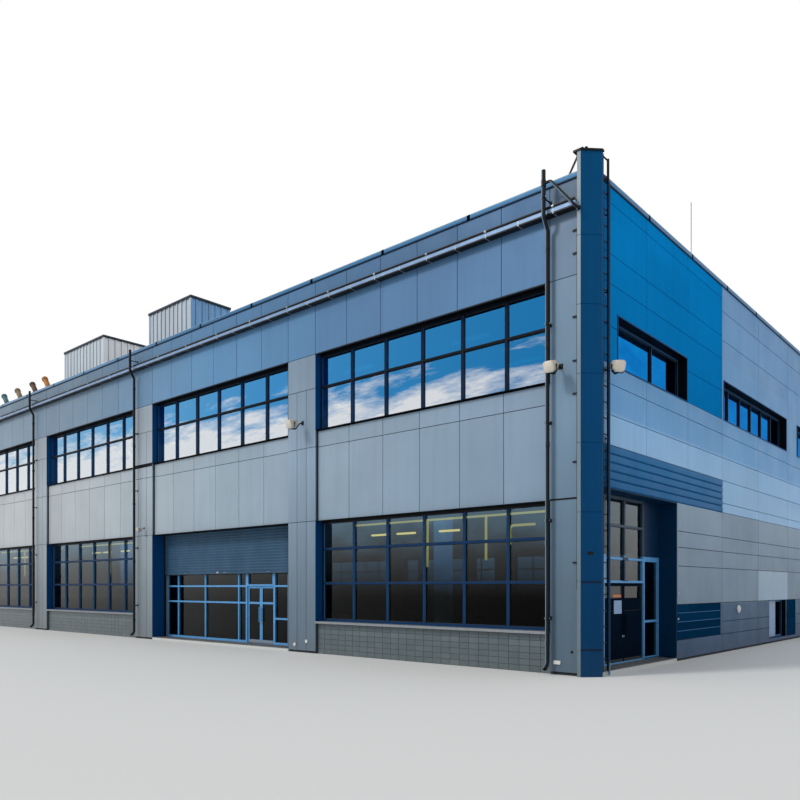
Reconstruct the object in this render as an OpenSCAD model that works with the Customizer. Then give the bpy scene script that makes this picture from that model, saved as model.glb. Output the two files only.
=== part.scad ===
// Two-storey factory building: cassette-clad walls round an open hall, with ribbon windows.
// Origin at the centre of the footprint at ground level, X along the front, the front faces -Y.
// On the front, u is measured from the right corner towards the left; on the sides, v runs back.

/* [Overall] */
// Depth of the building from front cladding to back cladding
depth = 26400; // [22000:100:34000]
// Distance between the centres of two window bays
bay_pitch = 9500; // [8900:50:11600]
// Number of window bays along the front
bay_count = 4; // [3:1:5]
// Clear width of a window bay between its pilasters
bay_opening = 8200; // [6500:50:8400]
// Width of the wall from a corner to the first window bay
end_w = 1100; // [900:10:1600]

/* [Storeys] */
// Top of the ground floor
floor_z = 100; // [60:10:200]
// Top of the sill of the ground-floor windows
ground_sill_z = 1000; // [700:10:1400]
// Head of the ground-floor windows and of the shutter opening
ground_head_z = 4100; // [3700:10:4350]
// Top of the upper floor
upper_floor_z = 5850; // [5400:10:6500]
// Foot of the upper windows of the front
upper_sill_z = 6900; // [6700:10:7100]
// Head of the upper windows of the front
upper_head_z = 9250; // [9000:10:9800]
// Top of the roof slab
deck_z = 10900; // [10400:10:11200]
// Top of the parapet wall, under its coping
parapet_z = 11470; // [11250:10:12500]

/* [Walls] */
// Thickness of the front and back walls with their cladding
front_wall_t = 500; // [450:10:700]
// Projection of an inner pilaster behind the front wall
pilaster_in = 250; // [250:10:450]
// Thickness of the side walls with their cladding
side_wall_t = 390; // [380:10:600]
// Setback of the spandrels and dado behind the pilasters
setback = 100; // [0:5:150]
// Thickness of the cladding cassettes
skin_t = 40; // [25:1:60]
// Joint between two cassettes
joint_w = 18; // [8:1:30]
// Thickness of the upper floor slab
floor_t = 350; // [250:10:500]
// Thickness of the roof slab
deck_t = 300; // [200:10:450]
// Width of a square inner column
column_w = 400; // [300:10:600]
// Rows of inner columns from front to back
column_rows = 2; // [1:1:3]

/* [Windows] */
// Window lights across one bay
lights = 6; // [4:1:8]
// Depth of the reveals of the ground-floor windows, from the pilaster face to the frame
ground_reveal = 280; // [200:5:390]
// Depth of the reveals of the upper windows, from the pilaster face to the frame
upper_reveal = 200; // [150:5:390]
// Depth of a window frame
frame_d = 100; // [80:5:105]
// Width of a frame's rim
rim_w = 75; // [50:5:110]
// Width of a mullion or transom bar
bar_w = 64; // [40:2:90]
// Height of the lower transom of the ground-floor windows
low_transom_z = 2170; // [1900:10:2600]
// Height of the upper transom of the ground-floor windows
high_transom_z = 3230; // [3000:10:3500]
// Height of the transom of the upper windows
upper_transom_z = 8250; // [7600:10:8600]
// Thickness of a glass unit
glass_t = 24; // [12:1:36]
// Thickness of the sheet lining of a reveal
lining_t = 12; // [6:1:25]
// Height of the sill plate
sill_h = 80; // [40:5:120]
// Overhang of the sill plate in front of the pilasters
sill_out = 40; // [10:5:90]

/* [Eaves] */
// Height of the coping
coping_h = 130; // [80:5:200]
// Overhang of the coping on each side of the parapet
coping_out = 35; // [15:5:80]
// Top of the box gutter
gutter_z = 10900; // [10850:10:11100]
// Height of the box gutter
gutter_h = 160; // [140:10:320]
// Projection of the box gutter from the wall
gutter_w = 205; // [150:5:240]
// Wall thickness of the gutter sheet
gutter_t = 14; // [8:1:20]
// Radius of the bead on the gutter's outer edge
bead_r = 32; // [20:1:60]
// Radius of a downpipe
pipe_r = 43; // [38:1:70]
// Distance of a downpipe's axis from the wall
pipe_off = 150; // [120:5:200]
// Distance from the wall of a downpipe's head, in front of the gutter
pipe_head_off = 325; // [320:5:380]

/* [Corner pier and ladder] */
// Width of the corner pier along the front
pier_w = 340; // [330:10:600]
// Top of the corner pier
pier_z = 12000; // [11800:10:13000]
// How far the pier stands in front of the pilasters
pier_out = 100; // [50:5:150]
// Leg of the pier's chamfer
chamfer = 350; // [200:10:420]
// Distance of the ladder's outer stile from the front
ladder_v = 620; // [620:10:900]
// Clear distance between the ladder's stile axes
ladder_w = 285; // [250:5:285]
// Radius of a ladder stile
stile_r = 30; // [20:1:33]
// Radius of a rung
rung_r = 13; // [8:1:18]
// Spacing of the rungs
rung_pitch = 370; // [250:10:400]

/* [Side wall] */
// Foot of the side windows
side_sill_z = 7310; // [7200:10:7600]
// Head of the side windows
side_head_z = 8540; // [8300:10:9000]
// Start of the first side window
first_window_v = 1270; // [1000:10:1600]
// Width of the first side window
first_window_w = 4430; // [3000:10:5200]
// Start of the row of long side windows
long_window_v = 8790; // [8700:10:9500]
// Width of a long side window
long_window_w = 7180; // [5000:10:7600]
// Pitch of the long side windows
long_window_pitch = 8710; // [8300:10:9500]
// Distance of the blue cladding's back edge from the front
blue_zone_v = 8650; // [8000:10:8700]
// Spacing of the vertical joints in the pale cladding
side_pitch = 3750; // [2500:50:5000]
// Foot of the horizontal siding band
band_z = 4390; // [4300:10:4600]
// Height of the horizontal siding band
band_h = 1010; // [600:10:1200]
// Strips in the siding band
band_strips = 5; // [3:1:8]
// Back edge of the entrance recess
recess_v = 4960; // [4900:10:5600]
// Depth of the entrance recess
recess_d = 500; // [420:10:700]

/* [Entrances] */
// Bottom edge of the lowered shutter
shutter_z = 2540; // [2350:10:3600]
// Distance of the shutter curtain behind the front wall
shutter_back = 40; // [35:5:60]
// Spacing of the shutter slats
slat_pitch = 100; // [80:5:130]
// Distance of the glazed screen behind the front wall
screen_back = 140; // [140:2:148]
// Width of the screen's posts
post_w = 60; // [45:5:80]
// Height of the front door's head above the ground
front_door_z = 2090; // [2050:10:2200]
// Height of the side door's head above the ground
side_door_z = 2160; // [2100:10:2300]
// Thickness of a door leaf
leaf_t = 52; // [40:1:60]
// Width of a door leaf's stiles
stile_w = 70; // [50:5:90]
// Running gap round a door leaf
leaf_gap = 6; // [5:0.5:10]
// Gap where two leaves meet
meeting_gap = 12; // [10:1:16]
// Radius of a hinge knuckle
knuckle_r = 14; // [10:0.5:18]
// Radius of a hinge pin
hinge_pin_r = 7; // [5:0.5:9]
// Running clearance of a hinge pin in its knuckle, on the radius
hinge_clear = 0.3; // [0.2:0.05:0.5]

/* [Roof] */
// Height of the plant housings above the roof slab
housing_h = 3900; // [2500:50:4500]
// Spacing of the ribs of the plant housings
rib_pitch = 350; // [250:10:600]
// Height of the exhaust cowls above the roof slab
cowl_h = 1850; // [1200:10:2500]

/* [Hidden] */
$fn = 48;

// Overall sizes that follow from the bays
pilaster_w = bay_pitch - bay_opening;
pilaster_d = front_wall_t + pilaster_in;
shutter_in = front_wall_t + shutter_back;
screen_in = front_wall_t + screen_back;
front_len = 2 * end_w + (bay_count - 1) * bay_pitch + bay_opening;
right_x = front_len / 2;
front_y = -depth / 2;
light_w = bay_opening / lights;
bay_ids = [for (k = [0:bay_count - 1]) k];
// The second bay from the corner holds the shutter and the glazed entrance
shutter_bay = 1;
// Gap between the ground and the cladding
base_gap = 60;
// Heights of the cassette joints on the pilasters
spandrel_joint_z = 6390;
cassette_z = [base_gap, ground_head_z, spandrel_joint_z, 8200, upper_head_z];
// Heights of the sheet joints of the pale and the blue side cladding
pale_z = [base_gap, 580, 980, 1570, 2640, 3160, 3610, band_z, 4690, band_z + band_h, 6110, 6840,
    9800, 10700, parapet_z];
plain_z = [base_gap, 1570, 3160, band_z, band_z + band_h, 6840, 9800, 10700, parapet_z];
blue_z = [side_sill_z, 8200, 9200, 9900, 11100, parapet_z];
pier_back = 300;
blue_v = [front_wall_t, 2950, 5780, blue_zone_v];
long_v = [for (v = [blue_zone_v:side_pitch:depth - 1500]) v];
pale_v = concat(long_v, [depth - skin_t]);
left_v = concat([skin_t, 2950, 5780], pale_v);
// Windows of a side wall, as [start, width, lights]
long_count = floor((depth - 800 - long_window_v + long_window_pitch - long_window_w)
    / long_window_pitch);
side_windows = concat([[first_window_v, first_window_w, 2]],
    [for (k = [0:long_count - 1]) [long_window_v + k * long_window_pitch, long_window_w, 6]]);
side_reveal = 250;
hatch_reveal = 150;
side_frame_d = 80;
// Low hatch window of the right side wall
hatch_v = 13700;
hatch_w = 2200;
hatch_z = 170;
hatch_h = 1410;
// Navy panels of the right side wall, as [start, end, foot, head]
navy_boxes = [[recess_v, 8500, 580, 1570], [15960, 17300, hatch_z, 1570]];
// Entrance in the front: its door, and the posts left of it as parts of the screen's width
front_door_u = bay_u(shutter_bay) + 1520;
front_door_w = 1470;
screen_parts = [0.158, 0.509, 0.906];
screen_rail_z = 1500;
side_rail_z = 980;
screen_d = 100;
// Entrance in the recess of the right side wall
side_door_v = 1610;
side_door_w = 2300;
side_light_end_v = 4870;
transom_light_z = 2740;
high_light_v = 3650;
hinge_h = 50;
hinge_zs = [300, 1050, 1750];
grip_r = 16;
function bay_u(k) = end_w + k * bay_pitch;

// Box between two corners, given in any order
module block(a, b) {
    low = [for (i = [0:2]) min(a[i], b[i])];
    high = [for (i = [0:2]) max(a[i], b[i])];
    translate(low) cube(high - low);
}

// Box on the front: from u0 to u1, from y_in to y_out behind the face, from z0 to z1
module front_block(u0, u1, in0, in1, z0, z1) {
    block([right_x - u0, front_y + in0, z0], [right_x - u1, front_y + in1, z1]);
}

// Box on the right side: from v0 to v1, from in0 to in1 behind the face, from z0 to z1
module side_block(v0, v1, in0, in1, z0, z1) {
    block([right_x - in0, front_y + v0, z0], [right_x - in1, front_y + v1, z1]);
}

// The same shape on the front and, turned half round, on the back
module front_and_back() {
    children();
    rotate(180) children();
}

// The same shape on the right side and, mirrored, on the left side
module both_sides() {
    children();
    mirror([1, 0, 0]) children();
}

// Round bar from p to q
module rod(p, q, r) {
    d = q - p;
    translate(p) rotate([0, acos(d.z / norm(d)), atan2(d.y, d.x)]) cylinder(h = norm(d), r = r);
}

function unit(v) = v / norm(v);

// Points of the rounded corner q between p and s
function corner_arc(p, q, s, bend_r, steps) = let (
    d1 = unit(q - p),
    d2 = unit(s - q),
    turn = acos(d1 * d2),
    inward = unit(d2 - d1 * (d1 * d2)),
    start = q - d1 * bend_r * tan(turn / 2),
    centre = start + inward * bend_r
) [for (k = [0:steps]) let (a = turn * k / steps)
    centre - inward * bend_r * cos(a) + d1 * bend_r * sin(a)];

// Path through a list of points with its corners rounded
function rounded_path(points, bend_r, steps) = concat([points[0]],
    [for (i = [1:len(points) - 2])
        each corner_arc(points[i - 1], points[i], points[i + 1], bend_r, steps)],
    [points[len(points) - 1]]);

// Normals carried along a list of tangents without twist
function carried(tangents, n, i = 0) = i == len(tangents) ? []
    : let (m = unit(n - tangents[i] * (n * tangents[i]))) concat([m], carried(tangents, m, i + 1));

// Round pipe swept along a path; side is any direction across its first stretch
module swept_pipe(path, r, side) {
    sides = 12;
    last = len(path) - 1;
    tangents = [for (i = [0:last]) unit(path[min(i + 1, last)] - path[max(i - 1, 0)])];
    normals = carried(tangents, side);
    rings = [for (i = [0:last], k = [0:sides - 1]) let (a = 360 * k / sides)
        path[i] + r * (cos(a) * normals[i] + sin(a) * cross(tangents[i], normals[i]))];
    polyhedron(rings, concat(
        [[for (k = [0:sides - 1]) k]],
        [for (i = [0:last - 1], k = [0:sides - 1]) let (m = (k + 1) % sides, a = i * sides)
            each [[a + k, a + sides + k, a + sides + m], [a + k, a + sides + m, a + m]]],
        [[for (k = [sides - 1:-1:0]) last * sides + k]]));
}

// Point on the front: u from the corner, out from the face, z up
function on_front(u, out, z) = [right_x - u, front_y - out, z];
// Point on the right side
function on_side(v, out, z) = [right_x + out, front_y + v, z];

// Grille of bars: w by h, with a rim and with bars at the given places
module grille(w, h, rim, bar, uprights, rails) {
    xs = concat([rim - bar / 2], uprights, [w - rim + bar / 2]);
    zs = concat([rim - bar / 2], rails, [h - rim + bar / 2]);
    difference() {
        square([w, h]);
        for (i = [0:len(xs) - 2], j = [0:len(zs) - 2])
            translate([xs[i] + bar / 2, zs[j] + bar / 2])
                square([xs[i + 1] - xs[i] - bar, zs[j + 1] - zs[j] - bar]);
    }
}

// Frame with its bars in front and a rebate for the glass behind them
module glazed_frame(w, h, d, rim, bar, uprights, rails) {
    bar_d = d * 0.6;
    rotate([90, 0, 0]) translate([0, 0, -d]) {
        linear_extrude(d) grille(w, h, rim, bar, [], []);
        translate([0, 0, d - bar_d]) linear_extrude(bar_d) grille(w, h, rim, bar, uprights, rails);
    }
}

// Glass sheet that closes such a frame behind its bars
module glass_sheet(w, h, d, rim) {
    translate([rim, d * 0.6, rim]) cube([w - 2 * rim, glass_t, h - 2 * rim]);
}

// Equal divisions of a length
function divisions(w, n) = [for (i = [1:n - 1]) i * w / n];

// Puts a child drawn from its lower left corner on the front, at the depth in0
module at_front(u1, in0, z0) { translate([right_x - u1, front_y + in0, z0]) children(); }
// Puts such a child on the right side, facing +X
module at_side(v0, in0, z0) {
    translate([right_x - in0, front_y + v0, z0]) rotate(90) children();
}

// Starts and ends of the pilasters, the first one starting at u_start
function pilaster_spans(u_start, u_end) = [for (k = [0:bay_count])
    [k == 0 ? u_start : bay_u(k) - pilaster_w, k == bay_count ? u_end : bay_u(k)]];
front_spans = pilaster_spans(pier_w, front_len - skin_t);
back_spans = pilaster_spans(skin_t, front_len - skin_t);

// Structure

// The pilasters at the two ends are no deeper than the wall, the inner ones are
module pilasters_of(spans, z_top) {
    last = len(spans) - 1;
    for (i = [0:last]) front_block(spans[i][0], spans[i][1], skin_t,
        i == 0 || i == last ? front_wall_t : pilaster_d, 0, z_top);
}

module pilasters() {
    color("slategray") {
        pilasters_of(front_spans, upper_head_z);
        rotate(180) pilasters_of(back_spans, upper_head_z);
    }
}

module floor_plate(z0, z1) {
    inner_x = right_x - side_wall_t;
    inner_y = depth / 2 - front_wall_t;
    difference() {
        block([-inner_x, -inner_y, z0], [inner_x, inner_y, z1]);
        pilasters_of(front_spans, parapet_z);
        rotate(180) pilasters_of(back_spans, parapet_z);
    }
}

module ground_slab() {
    u0 = bay_u(shutter_bay);
    color("dimgray") {
        floor_plate(0, floor_z);
        front_block(u0, u0 + bay_opening, 0, front_wall_t, 0, floor_z);
        side_block(front_wall_t, recess_v, 0, side_wall_t, 0, floor_z);
    }
}

module upper_floor() {
    color("silver") floor_plate(upper_floor_z - floor_t, upper_floor_z);
}

module roof_deck() {
    inner_x = right_x - side_wall_t;
    inner_y = depth / 2 - front_wall_t;
    color("gray") block([-inner_x, -inner_y, deck_z - deck_t], [inner_x, inner_y, deck_z]);
}

module inner_columns() {
    row_pitch = (depth - 2 * front_wall_t) / (column_rows + 1);
    color("gainsboro")
        for (k = [1:bay_count - 1], j = [1:column_rows]) {
            u = bay_u(k) - pilaster_w / 2;
            y_in = front_wall_t + j * row_pitch;
            for (z = [[floor_z, upper_floor_z - floor_t], [upper_floor_z, deck_z - deck_t]])
                front_block(u - column_w / 2, u + column_w / 2, y_in - column_w / 2,
                    y_in + column_w / 2, z[0], z[1]);
        }
}

module dado_walls() {
    top = ground_sill_z - sill_h;
    color("dimgray") {
        for (k = bay_ids) if (k != shutter_bay)
            front_block(bay_u(k), bay_u(k) + bay_opening, setback, front_wall_t, 0, top);
        rotate(180) for (k = bay_ids)
            front_block(bay_u(k), bay_u(k) + bay_opening, setback, front_wall_t, 0, top);
    }
}

// Sill plate with a turned-down drip edge along its front
module sill_plate(length) {
    nose_t = 12;
    nose_foot = 15;
    under = sill_h - 30;
    rotate([90, 0, 90]) linear_extrude(length) polygon([
        [-sill_out, sill_h], [-sill_out, nose_foot], [nose_t - sill_out, nose_foot],
        [nose_t - sill_out, under], [setback, under], [setback, 0], [front_wall_t, 0],
        [front_wall_t, sill_h]]);
}

module window_sills() {
    z = ground_sill_z - sill_h;
    color("lightgray") {
        for (k = bay_ids) if (k != shutter_bay)
            at_front(bay_u(k) + bay_opening, 0, z) sill_plate(bay_opening);
        rotate(180) for (k = bay_ids)
            at_front(bay_u(k) + bay_opening, 0, z) sill_plate(bay_opening);
    }
}

// Spandrels between the storeys and the long wall over the upper windows
module facade_walls() {
    color("whitesmoke") {
        front_and_back() for (k = bay_ids)
            front_block(bay_u(k), bay_u(k) + bay_opening, setback + skin_t, front_wall_t,
                ground_head_z, upper_sill_z);
        front_block(pier_w, front_len - skin_t, skin_t, front_wall_t, upper_head_z, parapet_z);
        rotate(180)
            front_block(skin_t, front_len - skin_t, skin_t, front_wall_t, upper_head_z, parapet_z);
    }
}

// Ring of folded coping round the parapet, sloped towards the roof, open at the pier
module parapet_coping() {
    slope = 25;
    t_front = front_wall_t + 2 * coping_out;
    t_side = side_wall_t + 2 * coping_out;
    len_x = front_len + 2 * coping_out;
    color("steelblue") translate([0, 0, parapet_z]) difference() {
        union() {
            front_and_back() translate([-len_x / 2, front_y - coping_out, 0])
                rotate([90, 0, 90]) linear_extrude(len_x) polygon([[0, 0], [t_front, 0],
                    [t_front, coping_h - slope], [0, coping_h]]);
            both_sides() translate([right_x + coping_out, -depth / 2, 0])
                rotate([90, 0, 0]) mirror([1, 0, 0]) translate([0, 0, -depth])
                    linear_extrude(depth) polygon([[0, 0], [t_side, 0],
                        [t_side, coping_h - slope], [0, coping_h]]);
        }
        block([right_x - pier_w, front_y - pier_out - 1, -1],
            [right_x + pier_out + 50, front_y + front_wall_t, coping_h + 1]);
    }
}

// Cladding of the front and back

module cassette(u0, u1, z0, z1, in0) {
    front_block(u0 + joint_w / 2, u1 - joint_w / 2, in0, in0 + skin_t,
        z0 + joint_w / 2, z1 - joint_w / 2);
}

// Cassettes of the pilasters in strips, the top row undivided
module pilaster_cassettes_of(spans, strips) {
    top_row = len(cassette_z) - 2;
    for (s = spans, j = [0:top_row]) {
        n = j == top_row ? 1 : strips;
        w = (s[1] - s[0]) / n;
        for (i = [0:n - 1])
            cassette(s[0] + i * w, s[0] + (i + 1) * w, cassette_z[j], cassette_z[j + 1], 0);
    }
}

module pilaster_cassettes() {
    spans = pilaster_spans(pier_w, front_len);
    inner_spans = [for (k = [1:bay_count]) spans[k]];
    color("lightslategray") {
        for (z = [[base_gap, ground_head_z], [ground_head_z, upper_head_z]])
            cassette(pier_w, end_w, z[0], z[1], 0);
        pilaster_cassettes_of(inner_spans, 3);
        rotate(180) pilaster_cassettes_of(pilaster_spans(0, front_len), 1);
    }
}

module spandrel_cassettes() {
    zs = [ground_head_z, spandrel_joint_z, upper_sill_z];
    color("lightslategray") front_and_back()
        for (k = bay_ids, i = [0:lights - 1], j = [0, 1])
            cassette(bay_u(k) + i * light_w, bay_u(k) + (i + 1) * light_w, zs[j], zs[j + 1],
                setback);
}

// Band over the upper windows, flush with the pilasters
module top_band_of(u_start) {
    for (k = bay_ids, i = [0:lights - 1])
        cassette(bay_u(k) + i * light_w, bay_u(k) + (i + 1) * light_w, upper_head_z,
            parapet_z, 0);
    for (s = pilaster_spans(u_start, front_len))
        cassette(s[0], s[1], upper_head_z, parapet_z, 0);
}

module top_band_cassettes() {
    color("steelblue") {
        top_band_of(pier_w);
        rotate(180) top_band_of(0);
    }
}

// Eaves and pipes

module eaves_gutter() {
    start = pier_w;
    length = front_len - start;
    color("cadetblue") translate([right_x - front_len, front_y, gutter_z - gutter_h])
        rotate([90, 0, 90]) {
            linear_extrude(length) {
                difference() {
                    translate([-gutter_w, 0]) square([gutter_w, gutter_h]);
                    translate([gutter_t - gutter_w, gutter_t])
                        square([gutter_w - 2 * gutter_t, gutter_h]);
                }
                translate([-gutter_w, gutter_h]) circle(r = bead_r);
            }
            for (x = [0, length - gutter_t]) translate([0, 0, x]) linear_extrude(gutter_t)
                translate([-gutter_w, 0]) square([gutter_w, gutter_h]);
        }
}

// Wall clip of a pipe on the front: a split ring and its arm
module pipe_clip(u, off, z, r) {
    ring_r = r + 9;
    arm_w = 36;
    clip_h = 45;
    difference() {
        union() {
            translate(on_front(u, off, z)) cylinder(h = clip_h, r = ring_r);
            block(on_front(u - arm_w / 2, 0, z), on_front(u + arm_w / 2, off, z + clip_h));
        }
        translate(on_front(u, off, z - 1)) cylinder(h = clip_h + 2, r = r + 0.3);
    }
}

// Downpipe: head in front of the gutter, swan neck back to the wall, shoe at the foot
module downpipe(u, z_head) {
    neck_z = gutter_z - gutter_h - 60;
    shoe = 130;
    swept_pipe(rounded_path([on_front(u, pipe_head_off, z_head),
        on_front(u, pipe_head_off, neck_z), on_front(u, pipe_off, neck_z - 260),
        on_front(u, pipe_off, 2 * shoe), on_front(u, pipe_off + shoe, shoe)], 150, 4),
        pipe_r, [1, 0, 0]);
    for (z = [1300, 3600, 5900, 8200]) pipe_clip(u, pipe_off, z, pipe_r);
    pipe_clip(u, pipe_head_off, gutter_z + 190, pipe_r);
}

module downpipes() {
    u1 = end_w - 20;
    branch_r = pipe_r - 12;
    branch_z = parapet_z - 30;
    tee_r = pipe_r + 16;
    foot_z = gutter_z - gutter_h - 40;
    color("black") {
        downpipe(u1, parapet_z + 280);
        for (k = [2:bay_count - 1]) downpipe(bay_u(k) - 180, parapet_z + 60);
        // Branch from a tee on the first pipe over to the corner pier
        translate(on_front(u1, pipe_head_off, branch_z - branch_r - 15)) difference() {
            cylinder(h = 2 * branch_r + 30, r = tee_r);
            translate([0, 0, -1]) cylinder(h = 2 * branch_r + 32, r = pipe_r + 0.3);
        }
        swept_pipe(rounded_path([on_front(u1 - tee_r, pipe_head_off, branch_z),
            on_front(u1 - 190, pipe_head_off, branch_z),
            on_front(pier_w - 45, pipe_head_off, foot_z),
            on_front(pier_w - 45, pier_out, foot_z)], 90, 4), branch_r, [0, 0, 1]);
    }
}

// Corner pier with its chamfered outer face, clad in lengths with open joints between them
module corner_pier() {
    joint_zs = concat([0], [for (z = [600:1580:pier_z - 800]) z], [pier_z]);
    groove_d = 10;
    groove_h = 14;
    outline = [
        [-pier_w, -pier_out], [pier_out - chamfer, -pier_out], [pier_out, chamfer - pier_out],
        [pier_out, pier_back], [0, pier_back], [0, front_wall_t], [-pier_w, front_wall_t]];
    color("midnightblue") translate([right_x, front_y, 0]) difference() {
        linear_extrude(pier_z) polygon(outline);
        for (i = [1:len(joint_zs) - 2]) translate([0, 0, joint_zs[i]]) linear_extrude(groove_h)
            difference() {
                translate([-pier_w - 1, -pier_out - 1])
                    square([pier_w + pier_out + 2, pier_out + pier_back + 1]);
                offset(delta = -groove_d) polygon(outline);
                translate([-pier_w - 1, 0]) square([groove_d + 1, pier_back]);
            }
    }
}

module pier_cap_and_brace() {
    cap_t = 45;
    lip = 25;
    brace_w = 60;
    color("black") {
        translate([right_x, front_y, pier_z]) linear_extrude(cap_t) polygon([
            [-pier_w - 90, -pier_out - lip], [pier_out - chamfer + lip / 2, -pier_out - lip],
            [pier_out + lip, chamfer - pier_out - lip / 2], [pier_out + lip, pier_back + lip],
            [lip, pier_back + lip], [lip, front_wall_t], [-pier_w - 90, front_wall_t]]);
        // Eye bracket on the cap
        translate([right_x - pier_w + 60, front_y + 40, pier_z + cap_t]) cylinder(h = 90, r = 30);
        translate([right_x - pier_w + 160, front_y + 40, pier_z + cap_t]) cylinder(h = 60, r = 35);
        // Flat brace from the cap down to the coping
        translate([right_x - pier_w, front_y + 60, 0]) rotate([90, 0, 0]) linear_extrude(12)
            polygon([[-90, pier_z], [-90 + brace_w, pier_z],
                [-330 + brace_w, parapet_z + coping_h - 3], [-330, parapet_z + coping_h - 3]]);
    }
}

module wall_conduits() {
    thin_r = 14;
    u = pier_w + 24;
    off = 45;
    side_off = 56;
    foot_z = 2000;
    color("dimgray") {
        translate(on_front(u, off, foot_z)) cylinder(h = 10300 - foot_z, r = thin_r);
        for (z = [2600, 4920, 6490, 7250, 8260, 9720, 10250])
            block(on_front(u - 12, 0, z), on_front(u + 130, off - thin_r + 2, z + 34));
        translate(on_side(ladder_v + 95, side_off, 0)) cylinder(h = band_z + band_h, r = 24);
        for (i = [0, band_strips - 1]) {
            z = band_z + i * band_h / band_strips + 70;
            block(on_side(ladder_v + 80, siding_out, z),
                on_side(ladder_v + 110, side_off - 20, z + 40));
        }
    }
}

module access_ladder() {
    off = 70;
    top = pier_z - 60;
    near = ladder_v - ladder_w;
    color("black") {
        for (v = [near, ladder_v])
            translate(on_side(v, off, floor_z)) cylinder(h = top + 30 - floor_z, r = stile_r);
        for (z = [floor_z + 300:rung_pitch:top - 150])
            rod(on_side(near, off, z), on_side(ladder_v, off, z), rung_r);
        // Hooks and brackets back to the wall
        for (z = [band_z + band_h + 100, 7100, 8900, 10700])
            for (v = [near, ladder_v]) rod(on_side(v, 0, z), on_side(v, off, z), rung_r + 4);
        for (z = [top - 220, top])
            rod(on_side(near, pier_out - 25, z), on_side(pier_back, pier_out - 25, z), rung_r + 6);
        rod(on_side(near, off, top), on_side(ladder_v, off, top), rung_r + 6);
    }
}

// Side walls

module side_walls() {
    back_v = depth - front_wall_t;
    color("whitesmoke") {
        side_block(recess_v, hatch_v, skin_t, side_wall_t, 0, band_z);
        side_block(hatch_v + hatch_w, back_v, skin_t, side_wall_t, 0, band_z);
        mirror([1, 0, 0]) side_block(front_wall_t, back_v, skin_t, side_wall_t, 0, band_z);
        both_sides()
            side_block(front_wall_t, back_v, skin_t, side_wall_t, side_head_z, parapet_z);
    }
}

module side_wall_bands() {
    color("whitesmoke") both_sides()
        side_block(front_wall_t, depth - front_wall_t, skin_t, side_wall_t, band_z, side_sill_z);
}

// Wall pieces between the upper side windows, and over and under the hatch window
module side_wall_infill() {
    starts = concat([front_wall_t], [for (w = side_windows) w[0] + w[1]]);
    ends = concat([for (w = side_windows) w[0]], [depth - front_wall_t]);
    color("whitesmoke") {
        both_sides() for (i = [0:len(starts) - 1])
            side_block(starts[i], ends[i], skin_t, side_wall_t, side_sill_z, side_head_z);
        side_block(hatch_v, hatch_v + hatch_w, skin_t, side_wall_t, 0, hatch_z);
        side_block(hatch_v, hatch_v + hatch_w, skin_t, side_wall_t, hatch_z + hatch_h, band_z);
    }
}

// Openings of the side cladding, as [start, end, foot, head]
window_holes = [for (w = side_windows) [w[0], w[0] + w[1], side_sill_z, side_head_z]];
hatch_hole = [hatch_v, hatch_v + hatch_w, hatch_z, hatch_z + hatch_h];

function overlaps(c, o) = c[0] < o[1] && o[0] < c[1] && c[2] < o[3] && o[2] < c[3];

// Sheets of side cladding on a grid of joints, cut back round the given openings
module side_sheets(vs, zs, holes) {
    g = joint_w / 2;
    for (i = [0:len(vs) - 2], j = [0:len(zs) - 2]) {
        c = [vs[i] + g, vs[i + 1] - g, zs[j] + g, zs[j + 1] - g];
        cuts = [for (o = holes) if (overlaps(c, o)) o];
        if (len(cuts) == 0) side_block(c[0], c[1], 0, skin_t, c[2], c[3]);
        else difference() {
            side_block(c[0], c[1], 0, skin_t, c[2], c[3]);
            for (o = cuts) side_block(o[0], o[1], -1, skin_t + 1, o[2], o[3]);
        }
    }
}

module blue_side_panels() {
    color("royalblue") side_sheets(blue_v, blue_z, window_holes);
}

module pale_side_panels() {
    holes = concat(window_holes, [hatch_hole], [navy_boxes[1]]);
    color("lightsteelblue") {
        side_sheets(pale_v, pale_z, holes);
        // Between the siding band and the blue cladding
        side_sheets(blue_v, [band_z + band_h, 6110, 6840, side_sill_z], []);
        // Under the siding band, beside the recess and on the pier side of it
        side_sheets([recess_v, blue_zone_v], [base_gap, 580], []);
        side_sheets([recess_v, blue_zone_v], [1570, 2640, 3160, 3610, band_z], []);
        side_sheets([8500, blue_zone_v], [580, 1570], []);
        mirror([1, 0, 0]) side_sheets(left_v, plain_z, window_holes);
    }
}

// How far the siding strips stand in front of the side face
siding_out = 22;

// Band of horizontal siding over the entrance recess, each strip a shallow trapezium
module siding_band() {
    strip_h = band_h / band_strips;
    start = front_wall_t + 20;
    end = blue_zone_v - joint_w / 2;
    color("steelblue") for (i = [0:band_strips - 1])
        translate([right_x, front_y + start, band_z + i * strip_h])
            rotate([90, 0, 0]) translate([0, 0, start - end]) linear_extrude(end - start)
                polygon([[-skin_t, 4], [-8, 4], [siding_out, 30], [siding_out, strip_h - 40],
                    [0, strip_h - 10], [-skin_t, strip_h - 10]]);
}

module navy_side_panels() {
    color("midnightblue") for (b = navy_boxes)
        side_block(b[0] + joint_w / 2, b[1] - joint_w / 2, 0, skin_t, b[2] + joint_w / 2,
            b[3] - joint_w / 2);
}

// Windows

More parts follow.
